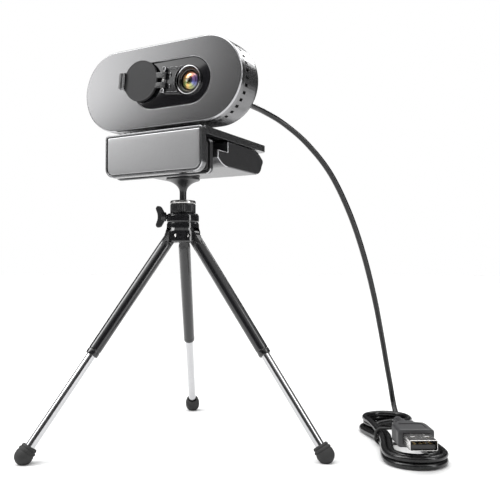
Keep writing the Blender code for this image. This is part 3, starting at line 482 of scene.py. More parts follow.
def lens_painted_reflections():
    """Coloured and light grey bands round the optical axis: painted reflections, as a multi-coated lens and
    its inner elements show them.
    """
    made, tree, shader = material("lens_painted_reflections", "lens_glass", Metallic=0.55, Roughness=0.12,
                                  Coat_Weight=1.0, Coat_Roughness=0.01)
    where = node(tree, "TexCoord").outputs["Object"]
    rim = 0.0047
    flat = node(tree, "Mapping", Vector=where, Scale=(1 / rim, 0.0, 1 / rim))
    share = node(tree, "VectorMath", Vector=flat.outputs["Vector"])
    share.operation = "LENGTH"
    # Brightness by distance from the axis: the light rings are painted reflections of the inner elements.
    greys = ((0.0, 0.0), (0.17, 0.0), (0.44, 0.9), (0.66, 0.72), (0.72, 0.12), (0.77, 0.62), (0.88, 0.42),
             (0.94, 0.01))
    greens = ((0.21, (0.10, 0.12, 0.10)), (0.30, (0.22, 0.26, 0.20)), (0.38, (0.06, 0.07, 0.06)))
    stops = sorted([(at, (level,) * 3) for at, level in greys] + list(greens))
    bands = ramp(tree, share.outputs["Value"], stops)
    # Tints that change round the axis: painted reflections in the coatings.
    lean = node(tree, "Mapping", Vector=where, Rotation=(radians(90), 0.0, 0.0))
    around = node(tree, "TexGradient", Vector=lean.outputs["Vector"])
    around.gradient_type = "RADIAL"
    hues = ((0.0, (0.55, 0.42, 0.18)), (0.14, (0.80, 0.36, 0.10)), (0.32, (0.85, 0.30, 0.12)),
            (0.47, (0.42, 0.24, 0.60)), (0.58, (0.20, 0.22, 0.62)), (0.70, (0.45, 0.50, 0.14)),
            (0.82, (0.85, 0.50, 0.10)), (0.92, (0.42, 0.58, 0.20)), (1.0, (0.55, 0.42, 0.18)))
    both = tree.nodes.new("ShaderNodeMix")
    both.data_type = "RGBA"
    both.blend_type = "MULTIPLY"
    both.inputs["Factor"].default_value = 1.0
    tree.links.new(bands, both.inputs["A"])
    tree.links.new(ramp(tree, around.outputs["Fac"], hues), both.inputs["B"])
    tree.links.new(both.outputs["Result"], shader.inputs["Base Color"])
    return made


LENS = lens_painted_reflections()

# ---------------------------------------------------------------- places
IN_FRAME = Matrix.Identity(4)
AXIS = Matrix.Translation((TRIPOD_X, 0.0, 0.0))
HEAD = Matrix.Translation((TRIPOD_X, FACE_Y, HEAD_Z))
HINGE_IN_HEAD = Vector((LENS_X - COVER_ARM * cos(COVER_LEAN), COVER_HINGE_Y, COVER_ARM * sin(COVER_LEAN)))
COVER = HEAD @ Matrix.Translation(HINGE_IN_HEAD) @ Matrix.Rotation(COVER_LEAN, 4, "Y")
NECK = AXIS @ Matrix.Translation((0.0, NECK_Y, PLATE_TOP))
BALL = AXIS @ Matrix.Translation((0.0, 0.0, BALL_Z))
HANK = Matrix.Translation((*HANK_MIDDLE, 0.0)) @ Matrix.Rotation(HANK_TURN - pi / 2, 4, "Z")


# ---------------------------------------------------------------- cord
def smooth_route(points, spacing):
    """Evenly spaced points on a Catmull-Rom curve through the route."""
    path = [Vector(point) for point in points]
    path = [2 * path[0] - path[1]] + path + [2 * path[-1] - path[-2]]
    dense = []
    for a, b, c, d in zip(path, path[1:], path[2:], path[3:]):
        for i in range(24):
            t = i / 24
            dense.append(0.5 * (2 * b + (c - a) * t + (2 * a - 5 * b + 4 * c - d) * t ** 2
                                + (3 * b - a - 3 * c + d) * t ** 3))
    dense.append(path[-2])
    total = sum((b - a).length for a, b in zip(dense, dense[1:]))
    count = round(total / spacing)
    found, walked, target = [dense[0]], 0.0, total / count
    for a, b in zip(dense, dense[1:]):
        step = (b - a).length
        while walked + step >= target * len(found) and len(found) < count:
            found.append(a.lerp(b, (target * len(found) - walked) / step))
        walked += step
    return found + [dense[-1]]


def tube(points, radius, sides=16):
    """A closed tube round a route, without twist."""
    sections = []
    across = None
    for i, point in enumerate(points):
        ahead = (points[min(i + 1, len(points) - 1)] - points[max(i - 1, 0)]).normalized()
        if across is None:
            across = ahead.orthogonal().normalized()
        across = (across - ahead * across.dot(ahead)).normalized()
        up = ahead.cross(across)
        sections.append([point + radius * (across * cos(2 * pi * k / sides) + up * sin(2 * pi * k / sides))
                         for k in range(sides)])
    return loft(sections)


def ease(value):
    value = min(1.0, max(0.0, value))
    return value * value * (3 - 2 * value)


def hank_route():
    """The cord's centre line in the hank's own axes, from the lead's end through the turns to the plug."""
    low, rise, top = 0.00165, 0.00305, 0.0027
    near, far = 0.0103, 0.0134
    reach = HANK_LENGTH / 2 - HANK_WIDTH / 2
    last = 0.0118
    fold = pi * last

    def half_shift(y):
        return (1 - (min(abs(y - TIE_ALONG), reach) / reach) ** 2) ** 2
    # Each turn: radius at its start and end, level at its start and end, where along the left run and the
    # top fold it changes over, and how much longer its bottom fold hangs.
    turns = ((far, near, 0, 0, 0.002, 0.035, 0.0), (near, near, 0, 1, 0.008, 0.035, -0.0008),
             (near, far, 1, 1, -0.010, 0.026, -0.0010), (far, last, 1, 2, -0.030, -0.004, 0.0))
    levels = (low, low + rise, low + rise + top)
    found = []
    steps = 16
    for start, end, level_in, level_out, change_from, change_to, hang in turns:
        def at(along):
            share = ease((along - change_from) / (change_to - change_from))
            return (start + (end - start) * share,
                    levels[level_in] + (levels[level_out] - levels[level_in]) * share)
        for i in range(steps):
            y = reach - 2 * reach * i / steps
            found.append((start, y, levels[level_in], 1, hang))
        for i in range(steps):
            angle = -pi * i / steps
            found.append((start * cos(angle), -reach + start * sin(angle), levels[level_in], 0, hang))
        for i in range(steps):
            y = -reach + 2 * reach * i / steps
            radius, height = at(y - reach)
            found.append((-radius, y, height, -1, hang))
        for i in range(steps):
            angle = pi - pi * i / steps
            radius, height = at(fold * i / steps)
            found.append((radius * cos(angle), reach + radius * sin(angle), height, 0, 0.0))
    height = levels[2]
    tail = ((last, reach, height), (0.0111, 0.0243, height + 0.0001), (0.0072, 0.0170, height + 0.0003),
            (0.0026, 0.0100, height + 0.0007), (-0.0010, 0.0045, height + 0.0018),
            (PLUG_ACROSS, TIE_ALONG - 0.0008, height + 0.0034))
    waist, left_waist, lift = 0.0030, 1.25, 0.0011
    route = []
    for x, y, z, side, hang in found:
        squeeze = waist * half_shift(y) * (left_waist if side < 0 else 1.0)
        drop = hang * ease((-y - 0.6 * reach) / (0.7 * reach)) if y < 0 else 0.0
        route.append(Vector((x - side * squeeze, y - drop, z + lift * half_shift(y))))
    for x, y, z in tail:
        route.append(Vector((x, y, z + lift * half_shift(y))))
    route.append(Vector((PLUG_ACROSS, PLUG_TAIL + 0.0006, PLUG_Z - 0.0006)))
    route.append(Vector((PLUG_ACROSS, PLUG_TAIL - 0.0030, PLUG_Z)))
    return route


def cords():
    lead = smooth_route(LEAD_ROUTE, LEAD_STEP)
    floor_start = next(i for i, point in enumerate(lead) if point.z < LANDING_Z)
    cuts = [round(floor_start * share) for share in LEAD_SHARES]
    radius = CORD_DIAMETER / 2
    for number, (first, last) in enumerate(zip(cuts, cuts[1:])):
        points = lead[first:last + 1]
        made = shaped(f"lead_{number + 1}", tube(points, radius), CORD, IN_FRAME)
        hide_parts("cord_lead")
        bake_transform(made)
    landing = lead[cuts[-1]:-1]
    coil = [HANK @ point for point in hank_route()]
    points = smooth_route([landing[0]] + landing[1::2] + coil, HANK_STEP)
    made = piece("hank", tube(points, radius, 12), CORD, "tripod", IN_FRAME, "cord_hank")
    return made, points


def usb_plug():
    """The plug on the hank, in the hank's own axes. It points along -Y."""
    x, y, middle = PLUG_ACROSS, PLUG_TAIL, PLUG_Z
    mouth = y - 0.0360

    def block(half_x, half_z, corner, along):
        return [(x + a, y - along, middle + b) for a, b in rounded(half_x, half_z, (corner,) * 4, steps=6)]
    sizes = ((0.0034, 0.0028, 0.0020, 0.0135), (0.0040, 0.0033, 0.0020, 0.0142),
             (0.0043, 0.0035, 0.0020, 0.0152), (0.0046, 0.0036, 0.0019, 0.0176),
             (0.0060, 0.0038, 0.0017, 0.0200), (0.0077, 0.0040, 0.0015, 0.0216),
             (0.0082, 0.0040, 0.0014, 0.0236), (0.0082, 0.0040, 0.0014, 0.0353),
             (0.0080, 0.0038, 0.0013, 0.0358), (0.0076, 0.0034, 0.0012, 0.0360))
    body = loft([block(*size) for size in sizes])
    for side in (-1, 1):
        for i in range(5):
            at = y - 0.0251 - 0.0017 * i
            groove = box((x + side * 0.0087 - 0.0008, at, middle - 0.0030),
                         (x + side * 0.0087 + 0.0008, at + 0.0007, middle + 0.0030))
            body = minus(body, groove)
    face = prism(rounded(0.0056, 0.0050, (0.0012,) * 4, x, y - 0.0287), middle + 0.0037, middle + 0.005, "Z")
    body = minus(body, face)
    body = minus(body, box((x - 0.0061, mouth - 0.001, middle - 0.00235),
                           (x + 0.0061, mouth + 0.0060, middle + 0.00235)))
    overmould = piece("plug_grip", body, PLUG_BLACK, "tripod", HANK, "plug_overmould", sharp=34)

    inside = CORD_DIAMETER / 2 + 0.0001
    relief = [(inside, 0.0002), (0.0021, 0.0), (0.0024, 0.0004)]
    end = 0.0130
    ring = ((0.00175, 0.0), (0.00175, 0.3), (0.00235, 0.35), (0.0024, 0.95))
    relief += teeth(7, 0.0010, end, ring, 0.00065)
    relief += [(0.0030, end + 0.0002), (0.0030, end + 0.0010), (inside, end + 0.0010)]
    sleeve = lathe([(radius, y - at) for radius, at in fillet(relief, 0.00012, True, 2)], 40, True)
    sleeve = shift(into_head(sleeve), x, 0.0, middle)
    sleeve_piece = piece("plug_relief", sleeve, PLUG_BLACK, "tripod", HANK, sharp=34)

    def shell_row(grow, at):
        return [(x + a, at, middle + b) for a, b in rounded(0.0060 + grow, 0.00225 + grow,
                                                            (0.00055 + grow,) * 4, steps=5)]
    tip, root = mouth - 0.0123, mouth + 0.0050
    rows = ((0.0, root), (0.0, tip + 0.0001), (-0.0001, tip), (-0.0002, tip), (-0.0003, tip + 0.0003),
            (-0.0003, root))
    shell = loft([shell_row(*row) for row in rows], ring=True)
    for side in (-1, 1):
        window = prism(rounded(0.0011, 0.0011, (0.0002,) * 4, x + side * 0.0031, mouth - 0.0063),
                       middle - 0.004, middle + 0.004, "Z")
        shell = minus(shell, window)
    seam = box((x - 0.00008, tip - 0.001, middle - 0.003), (x + 0.00008, mouth + 0.006, middle - 0.0021))
    shell = minus(shell, seam)
    metal = piece("plug_metal", shell, PLUG_STEEL, "tripod", HANK, "plug_shell", sharp=34)

    core = box((x - 0.0054, mouth - 0.0112, middle - 0.0018), (x + 0.0054, mouth + 0.0048, middle + 0.0002))
    core_piece = piece("plug_core", softened(core, 0.0002), TONGUE, "tripod", HANK, "plug_tongue", sharp=34)
    strips = []
    for i, across in enumerate((-0.0035, -0.0010, 0.0010, 0.0035)):
        reach = 0.0105 if i in (0, 3) else 0.0095
        strips.append(softened(box((x + across - 0.0005, mouth - reach, middle + 0.0001),
                                   (x + across + 0.0005, mouth - 0.0016, middle + 0.00045)), 0.0001, 2))
    contacts = piece("plug_contacts", together(strips), GOLD, "tripod", HANK, sharp=34)
    return [overmould, sleeve_piece, metal, core_piece, contacts]


def wire_tie():
    """Two turns of thin wire round the hank's waist, and its two ends."""
    radius, left, right, top = 0.0006, -0.01195, 0.01260, 0.00835
    outline = rounded((right - left) / 2, (top - radius) / 2, (0.0030,) * 4, (right + left) / 2,
                      (top + radius) / 2, 10)
    loops = outline * 2
    count = len(loops)
    points = []
    for i, (x, z) in enumerate(loops):
        points.append(Vector((x, TIE_ALONG - 0.0008 + 0.0016 * i / count, z)))
    last, first = points[-1], points[0]
    lead_in = [first + Vector((0.0016, -0.0040, -0.0030)), first + Vector((0.0019, -0.0018, -0.0014))]
    lead_out = [last + Vector((0.0020, 0.0014, 0.0006)), last + Vector((0.0024, 0.0040, -0.0008)),
                last + Vector((0.0018, 0.0062, -0.0020))]
    route = smooth_route(lead_in + points + lead_out, 0.0006)
    return piece("wire_tie", tube(route, radius, 12), RUBBER, "tripod", HANK, "cord_tie")


hank_piece, hank_points = cords()
usb_plug() + [wire_tie()]


# ---------------------------------------------------------------- head
# Its axes: origin in the middle of the face, +Y to the back.

def head_row(inset, y):
    return at_depth(stadium(HEAD_STRAIGHT, HEAD_RADIUS - inset), y)


def window_row(grow, y):
    return at_depth(stadium((WINDOW_WIDTH - WINDOW_HEIGHT) / 2, WINDOW_HEIGHT / 2 + grow, WINDOW_X), y)


def face_plate():
    wall, inside = 0.0016, 0.0016
    edge = ((0.0, COVER_DEPTH), (0.0, 0.00075), (0.00006, 0.00058), (0.00042, 0.00014), (0.00058, 0.00003),
            (0.00085, 0.0))
    rows = [head_row(inset, y) for inset, y in edge]
    rows += [window_row(grow, y) for grow, y in ((0.00045, 0.0), (0.00030, 0.00004), (0.00004, 0.00030),
                                                 (0.0, 0.0004), (0.0, inside))]
    rows += [head_row(wall, inside), head_row(wall, COVER_DEPTH)]
    piece("face_plate", loft(rows, ring=True), SATIN, "head", HEAD, "front_cover", edges="Y")


def window():
    front, back, edge = 0.0003, 0.0019, 0.0002
    count = len(window_row(0.0, 0.0))

    def hole(radius, y):
        angles = [2 * pi * i / count - pi / 2 for i in range(count)]
        return [(LENS_X + radius * cos(a), y, radius * sin(a)) for a in angles]
    bore = RING_RADIUS + 0.00008
    rows = [window_row(-GAP * 0.5, back), window_row(-GAP * 0.5, front + edge),
            window_row(-GAP * 0.5 - edge, front), hole(bore + edge, front), hole(bore, front + edge),
            hole(bore, back)]
    piece("window", loft(rows, ring=True), WINDOW, "head", HEAD, "front_window")


def lens():
    axis = HEAD @ Matrix.Translation((LENS_X, 0.0, 0.0))
    ring = [(0.0062, 0.0027), (0.0062, 0.0001), (0.00640, -0.0007), (0.00655, -0.00108), (0.00672, -0.0012),
            (0.00690, -0.00112), (0.0070, -0.00085), (0.0070, 0.0027)]
    piece("lens_bezel", into_head(lathe(ring, 96, True)), RING, "head", axis, "lens_ring")
    barrel = [(0.00485, 0.0026), (0.00485, 0.0009), (0.0050, 0.0004), (0.00512, 0.00012), (0.00530, 0.0),
              (0.00545, 0.00012), (0.00548, -0.00018), (0.00560, -0.00036), (0.00574, -0.00022),
              (0.00578, -0.00052), (0.00592, -0.00070), (0.00606, -0.0006), (0.00612, -0.0003),
              (0.00612, 0.0026), (0.0053, 0.0026), (0.0053, 0.0090), (0.0036, 0.0090), (0.0036, 0.0028),
              (0.00485, 0.0028)]
    piece("lens_barrel_stepped", into_head(lathe(barrel, 96, True)), GLOSS, "head", axis, "lens_barrel",
          slot="lens_black")
    rim, sag, bulge = 0.0048, 0.0016, -0.00045
    bend = (rim ** 2 + sag ** 2) / (2 * sag)
    profile = [(0.0, bulge)]
    for i in range(1, 19):
        radius = rim * i / 18
        profile.append((radius, bulge + bend - sqrt(bend ** 2 - radius ** 2)))
    profile += [(rim, 0.0022), (0.0, 0.0022)]
    piece("lens_front", into_head(lathe(profile, 96)), LENS, "head", axis, "lens_front_element")
    rear = [(0.0, 0.0048), (0.0020, 0.0051), (0.0033, 0.0056), (0.0033, 0.0064), (0.0, 0.0066)]
    piece("lens_rear", into_head(lathe(rear, 48)), LENS, "head", axis, "lens_rear_element")


def rim_at(at):
    """A place on the head's rim, by length along it: the point under the surface and the way out."""
    straight, bend = 2 * HEAD_STRAIGHT, pi * HEAD_RADIUS
    at %= 2 * (straight + bend)
    if at < straight:
        return HEAD_STRAIGHT - at, 0.0, 1.0
    if at < straight + bend:
        angle = pi / 2 + (at - straight) / HEAD_RADIUS
        return -HEAD_STRAIGHT, cos(angle), sin(angle)
    if at < 2 * straight + bend:
        return -HEAD_STRAIGHT + at - straight - bend, 0.0, -1.0
    angle = -pi / 2 + (at - 2 * straight - bend) / HEAD_RADIUS
    return HEAD_STRAIGHT, cos(angle), sin(angle)


def vented_shell(wall, front):
    """The shell's outside and inside, open at the front, with a slot through the wall at every vent."""
    around = 4 * HEAD_STRAIGHT + 2 * pi * HEAD_RADIUS
    count = round(around / VENT_PITCH)
    pitch = around / count
    along, deep = VENT_SIZE
    places, slots = [], set()
    for i in range(count):
        middle = (i + 0.5) * pitch
        slots.add(len(places))
        places += [middle - along / 2, middle + along / 2, middle + pitch / 2 - 0.00055,
                   middle + pitch / 2 + 0.00055]
    near = front + 0.0009
    outer = [(0.00025, front), (0.0, front + 0.00025), (0.0, near), (0.0, near + deep)]
    inner = [(wall, front), (wall, front + 0.00025), (wall, near), (wall, near + deep)]
    steps = 9
    for i in range(steps + 1):
        angle = pi / 2 * i / steps
        outer.append((REAR_ROUNDING * (1 - cos(angle)), HEAD_DEPTH - REAR_ROUNDING * (1 - sin(angle))))
        small = REAR_ROUNDING - wall
        inner.append((wall + small * (1 - cos(angle)), HEAD_DEPTH - wall - small * (1 - sin(angle))))
    shape = bmesh.new()

    def row(inset, y):
        found = []
        for at in places:
            base, out_x, out_z = rim_at(at)
            reach = HEAD_RADIUS - inset
            found.append(shape.verts.new((base + out_x * reach, y, out_z * reach)))
        return found
    outside = [row(inset, y) for inset, y in outer]
    inside = [row(inset, y) for inset, y in inner]
    # The vents lie between this row of corners and the next.
    slotted = 2
    for rows in (outside, inside):
        for level, (low, high) in enumerate(zip(rows, rows[1:])):
            bridge(shape, low, high, slots if level == slotted else ())
        shape.faces.new(rows[-1])
    bridge(shape, outside[0], inside[0])
    for i in slots:
        j = (i + 1) % len(places)
        edges = [(rows[slotted][i], rows[slotted][j], rows[slotted + 1][j], rows[slotted + 1][i])
                 for rows in (outside, inside)]
        bridge(shape, *edges)
    return shape


def rear_shell():
    shape = vented_shell(0.0018, COVER_DEPTH + GAP)
    neck_y, bottom = NECK_Y - FACE_Y, -HEAD_RADIUS
    slot = NECK_WIDTH / 2 + 0.0004
    opening = box((-slot, neck_y - 0.0066, bottom - 0.003), (slot, neck_y + 0.0066, bottom + 0.0045))
    opening = softened(opening, 0.0006, 3)
    shape = minus(shape, opening)
    seats = [into_head(rod(0.0024, 0.0175, HEAD_DEPTH + 0.001), side * SCREW_X) for side in (-1, 1)]
    seats.append(into_head(rod(0.0037, 0.015, 0.03), CORD_EXIT_X, -CORD_EXIT_DROP))
    shape = minus(shape, together(seats))
    ears = [softened(box((side * 0.0103 - 0.0011, neck_y - 0.004, bottom + 0.0010),
                         (side * 0.0103 + 0.0011, neck_y + 0.004, TILT_Z - HEAD_Z + 0.0040)), 0.0004)
            for side in (-1, 1)]
    shape = plus(shape, together(ears))
    piece("shell", shape, SHELL, "head", HEAD, "rear_shell", sharp=30)

    for side, label in ((-1, "left"), (1, "right")):
        boss = lathe([(0.0035, 0.0102), (0.0035, 0.0202), (0.0024, 0.0202), (0.0024, 0.0176),
                      (0.0016, 0.0176), (0.0016, 0.0102)], 32, True)
        piece(f"screw_boss_{label}", into_head(boss, side * SCREW_X), MOULD, "head", HEAD, slot="satin_grey")
        outline = [(0.0, 0.0045), (0.0008, 0.0045), (0.0011, 0.0055), (0.0011, 0.0178), (0.0020, 0.0178),
                   (0.0020, 0.0189), (0.0014, 0.0194), (0.0, 0.0194)]
        screw = lathe(fillet(outline, 0.0002), 32)
        for x, y in ((0.0011, 0.00022), (0.00022, 0.0011)):
            screw = minus(screw, box((-x, -y, 0.0186), (x, y, 0.0200)))
        piece(f"screw_{label}", into_head(screw, side * SCREW_X), STEEL, "head", HEAD,
              f"housing_screw_{label}")


def gland():
    """A tapered strain relief with rings, over the cord where it leaves the shell."""
    back = HEAD_DEPTH
    flange = ((0.00165, -0.0031), (0.0050, -0.0031), (0.0050, -0.0021), (0.0034, -0.0021), (0.0034, 0.0003),
              (0.0043, 0.0003), (0.0043, 0.0013), (0.0037, 0.0018))
    profile = [(radius, back + along) for radius, along in flange]
    end = back + GLAND_REACH - 0.0012
    ring = ((0.0028, 0.0), (0.0028, 0.35), (0.0034, 0.40), (0.0033, 0.95))
    profile += teeth(5, back + 0.0022, end, ring, -0.0010)
    profile += [(0.0024, end + 0.0001), (0.0022, end + 0.0012), (0.00165, end + 0.0012)]
    shape = lathe(fillet(profile, 0.0002, closed=True, steps=2), 40, True)
    piece("gland", into_head(shape, CORD_EXIT_X, -CORD_EXIT_DROP), RUBBER, "head", HEAD, "cord_gland")


# ---------------------------------------------------------------- privacy cover
# Its axes: Z along the hinge, +X towards the lens, +Y to the face.

def cover_bracket():
    """A plate with a raised rim that follows the lens ring, two outer knuckles and two lugs."""
    floor, front = 0.00135, 0.0006
    curve = arc((COVER_ARM, 0.0), RING_RADIUS + 0.0007, 122, 238, 28)
    tip_x = curve[0][0] - 0.0012
    outline = [(-0.0013, -BRACKET_HALF + 0.0004), (-0.0013, BRACKET_HALF - 0.0004), (tip_x, BRACKET_HALF)]
    outline = fillet(outline + curve + [(tip_x, -BRACKET_HALF)], 0.0007, closed=True, steps=5)
    plate = prism(outline, front, 0.0019, "Y")
    middle = Vector((0.0019, 0.0))
    inner = [tuple(middle + (Vector(point) - middle) * 0.84) for point in outline]
    plate = softened(minus(plate, prism(inner, -0.001, floor, "Y")), 0.00016, 2, 50)
    for (low, high), (lug_low, lug_high) in zip(both_sides(0.0044, 0.0064), both_sides(0.0019, 0.0036)):
        plate = plus(plate, rod(0.0010, low, high, 32, 0.00025))
        plate = plus(plate, box((-0.0008, 0.0, low + 0.0002), (0.0008, 0.0014, high - 0.0002)))
        plate = plus(plate, softened(box((0.0029, 0.0008, lug_low), (0.0036, 0.0015, lug_high)), 0.00018, 2))
    piece("cover_hinge_plate", plate, GLOSS, "head", COVER, "cover_bracket", edges="Y")


def privacy_cover():
    edge = COVER_RADIUS
    disc = [(0.0, -0.00025), (edge - 0.0010, -0.00025), (edge - 0.0008, -0.00020), (edge - 0.00065, -0.00025),
            (edge - 0.0003, -0.00025), (edge - 0.00005, 0.0), (edge, 0.0002), (edge, 0.0009),
            (edge - 0.0001, 0.00105), (edge - 0.0003, 0.00115), (0.0, 0.00115)]
    piece("cover_disc", into_head(lathe(disc, 96), -COVER_ARM), DISC, "cover", COVER, "privacy_cover")

    arms = [softened(box((-0.0052, -0.0002, low), (-0.0003, 0.0007, high)), 0.00025)
            for low, high in both_sides(0.0011, 0.0038)]
    knuckles = [rod(0.00118, low, high, 40, 0.00028)
                for low, high in both_sides(0.0010, 0.00235) + both_sides(0.00255, 0.0039)]
    piece("cover_arm", together(arms), GLOSS, "cover", COVER)
    # The knuckles take the lighter, painted-lit copy of the cover grey.
    piece("cover_knuckles", together(knuckles), LIT_KNUCKLE_GREY, "cover", COVER)

    rim = -COVER_ARM - COVER_RADIUS
    latch = box((rim - 0.0024, -0.00155, -0.0042), (rim + 0.0011, 0.0006, 0.0042))
    latch = minus(latch, box((rim - 0.0008, -0.0030, -0.0060), (rim - 0.00015, -0.00065, 0.0060)))
    piece("cover_latch", softened(latch, 0.0003, 3, 50), GLOSS, "cover", COVER, edges="Y")
    pin = rod(0.00045, -0.0062, 0.0062, 20, 0.0001)
    piece("cover_hinge_pin", pin, STEEL, "cover", COVER, "cover_pin")


def inner_parts():
    """CAD nodes inside the head that keep their shape."""
    looks = {"lens_holder": MOULD, "image_sensor": WINDOW, "circuit_board": BOARD, "image_processor": CHIP,
             "status_light": WINDOW, "microphone_left": STEEL, "microphone_right": STEEL}
    for name, look in looks.items():
        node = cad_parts[name]
        node.data.materials.clear()
        node.data.materials.append(look)


for make in (face_plate, window, lens, rear_shell, gland, cover_bracket, privacy_cover, inner_parts):
    make()


# ---------------------------------------------------------------- neck
# Its axes: on the swivel's line, Z up from the clip's top.

def neck():
    half, tilt = NECK_WIDTH / 2, TILT_Z - PLATE_TOP
    outline = fillet([(-0.0048, 0.0009), (0.0048, 0.0009), (0.0048, 0.0016), (0.0037, 0.0024),
                      (0.0037, tilt - 0.0027)], 0.0006)
    outline += arc((0.0, tilt), KNUCKLE_RADIUS, -36, 216, 40)
    outline += fillet([(-0.0037, tilt - 0.0027), (-0.0037, 0.0024), (-0.0048, 0.0016)], 0.0006)[1:]
    block = softened(prism(outline, -half, half, "X"), 0.0005, 3, 50)
    for side in (-1, 1):
        groove = lathe([(KNUCKLE_RADIUS - 0.0004, -0.0003), (KNUCKLE_RADIUS + 0.001, -0.0003),
                        (KNUCKLE_RADIUS + 0.001, 0.0003), (KNUCKLE_RADIUS - 0.0004, 0.0003)], 48, True)
        block = minus(block, shift(turned(groove, 90, "Y"), side * 0.0052, 0.0, tilt))
    block = minus(block, rod_x(0.0013, -0.02, 0.02, 0.0, tilt, 24))
    block = minus(block, rod(0.0018, 0.0, 0.0052, 24))
    piece("neck_block", block, GLOSS, "neck", NECK, "neck_bracket", slot="moulded_black", sharp=32)
    washer = [(0.0019, GAP), (0.0095, GAP), (0.0095, 0.0007), (0.0086, 0.0007), (0.0084, 0.00055),
              (0.0019, 0.00055)]
    washer = lathe(fillet(washer, 0.0001, True, 3), 72, True)
    piece("swivel_disc", washer, STEEL, "neck", NECK, "swivel_washer")
    screw = lathe(fillet([(0.0, -0.0035), (0.0026, -0.0035), (0.0034, -0.0031), (0.0035, -0.0021),
                          (0.0015, -0.0021), (0.0015, 0.0046), (0.0, 0.0046)], 0.0003), 40)
    for size in ((0.0019, 0.0003), (0.0003, 0.0019)):
        screw = minus(screw, box((-size[0], -size[1], -0.004), (size[0], size[1], -0.0026)))
    piece("swivel_bolt", screw, STEEL, "neck", NECK, "swivel_screw")
    pin = rod_x(0.0010, -0.0112, 0.0112, NECK_Y - FACE_Y, TILT_Z - HEAD_Z, 28, 0.0002)
    piece("tilt_hinge_pin", pin, STEEL, "head", HEAD, "tilt_pin")


# ---------------------------------------------------------------- clip
# World heights, about the tripod's line.

def lip_row(inset, y):
    top, bottom = max(0.0016 - inset, 0.0004), max(0.005 - inset, 0.0004)
    return at_depth(rounded(CLIP_WIDTH / 2 - inset, LIP_HEIGHT / 2 - inset, (top, top, bottom, bottom), 0.0,
                            PLATE_TOP - LIP_HEIGHT / 2, 10), y)


def upper_arm():
    half, under = CLIP_WIDTH / 2, PLATE_TOP - PLATE_THICKNESS
    recess, floor = 0.0010, LIP_FRONT + 0.0012
    rows = ((0.0003, LIP_INNER), (0.0, LIP_INNER - 0.0003), (0.0, LIP_FRONT + 0.0006),
            (0.00012, LIP_FRONT + 0.00022), (0.00034, LIP_FRONT + 0.00004), (0.0005, LIP_FRONT),
            (recess - 0.00012, LIP_FRONT), (recess, LIP_FRONT + 0.00012), (recess, floor), (0.0060, floor),
            (0.0060, floor + 0.0004))
    lip = loft([lip_row(*row) for row in rows])
    middle = (PLATE_BACK + LIP_INNER) / 2
    outline = rounded(half, (PLATE_BACK - LIP_INNER) / 2 + 0.001, (0.003, 0.003, 0.0001, 0.0001), 0.0, middle)
    plate = softened(prism(outline, under, PLATE_TOP, "Z"), 0.00035, 3, 60)
    hollow = rounded(half - 0.0022, 0.0216, (0.0018,) * 4, 0.0, 0.0035)
    plate = minus(plate, softened(prism(hollow, under - 0.001, under + 0.0006, "Z"), 0.0002, 2, 60))
    shape = plus(lip, plate)
    for low, high in both_sides(0.016, 0.024):
        web = box((low, HINGE_Y - HINGE_RADIUS, HINGE_Z), (high, HINGE_Y + HINGE_RADIUS, HINGE_Z + 0.0042))
        shape = plus(shape, softened(web, 0.0003))
        shape = plus(shape, rod_x(HINGE_RADIUS, low, high, HINGE_Y, HINGE_Z, 48, 0.0003))
        shape = minus(shape, rod_x(0.0018, low - 0.0003, high + 0.0003, HINGE_Y, HINGE_Z, 32))
    shape = minus(shape, shift(rod(0.0040, under - 0.001, under + 0.0018, 48), 0.0, NECK_Y))
    shape = minus(shape, shift(rod(0.0019, under, PLATE_TOP + 0.001, 32), 0.0, NECK_Y))
    piece("clip_arm", shape, SHELL, "clip", AXIS, "upper_arm", sharp=32, edges="Y")

    rows = ((0.0040, 0.00012), (0.0019, 0.00012), (0.0016, 0.00018), (0.00142, 0.0004), (0.0014, 0.0009))
    panel = loft([lip_row(inset, LIP_FRONT + deep) for inset, deep in rows])
    piece("clip_front_panel", panel, LIP, "clip", AXIS, "lip_panel", sharp=50, edges="Y")

    low, high, back = 0.1373, 0.1507, LIP_INNER + GAP
    valley, ridge = back + 0.00032, back + 0.0005
    profile = [(back, low), (back, high)]
    profile += teeth(22, high, low, ((valley, 0.0), (ridge, 0.2), (ridge, 0.7), (valley, 0.9)))
    grip = prism(profile, -0.025, 0.025, "X")
    piece("lip_grip", grip, RUBBER, "clip", AXIS, "lip_pad", sharp=30)


def clip_hinge():
    place = AXIS @ Matrix.Translation((0.0, HINGE_Y, HINGE_Z))
    head = [(0.0, -0.0254), (0.0015, -0.0254), (0.0017, -0.0256), (0.0019, -0.02595), (0.0027, -0.0260),
            (0.0031, -0.0257), (0.0032, -0.0252), (0.0032, -0.0243), (0.0015, -0.0243), (0.0015, 0.0243),
            (0.0, 0.0243)]
    piece("hinge_pin", turned(lathe(fillet(head, 0.00012), 48), 90, "Y"), STEEL, "clip", place, "clip_pin")
    cap = [(0.0, 0.0246), (0.0032, 0.0246), (0.0032, 0.0254), (0.0030, 0.0259), (0.0026, 0.0261),
           (0.0019, 0.0261), (0.0017, 0.0258), (0.0015, 0.0252), (0.0, 0.0252)]
    piece("hinge_pin_cap", turned(lathe(fillet(cap, 0.00012), 48), 90, "Y"), STEEL, "clip", place,
          "clip_pin_cap")


# ---------------------------------------------------------------- lower arm and foot
# World heights, about the tripod's line.

def arm_profile():
    """Side view, (y, z): flat where the tripod meets it, curved up at both ends."""
    back = HINGE_Y + 0.0030
    step_y, step_z = -0.003, 0.1470
    points = fillet([(step_y, step_z - 0.0005), (step_y, ARM_TOP), (0.0275, ARM_TOP), (0.0315, 0.1500),
                     (back, 0.1480), (back, 0.1465)], 0.0008)[1:]
    points += arc((0.0265, 0.1462), 0.0068, -18, -90, 20)
    points += [(-0.0031, ARM_BOTTOM)] + arc((-0.0031, 0.1524), 0.0130, -96, -135, 14) + [(-0.0123, step_z)]
    return points + [(step_y, step_z)]


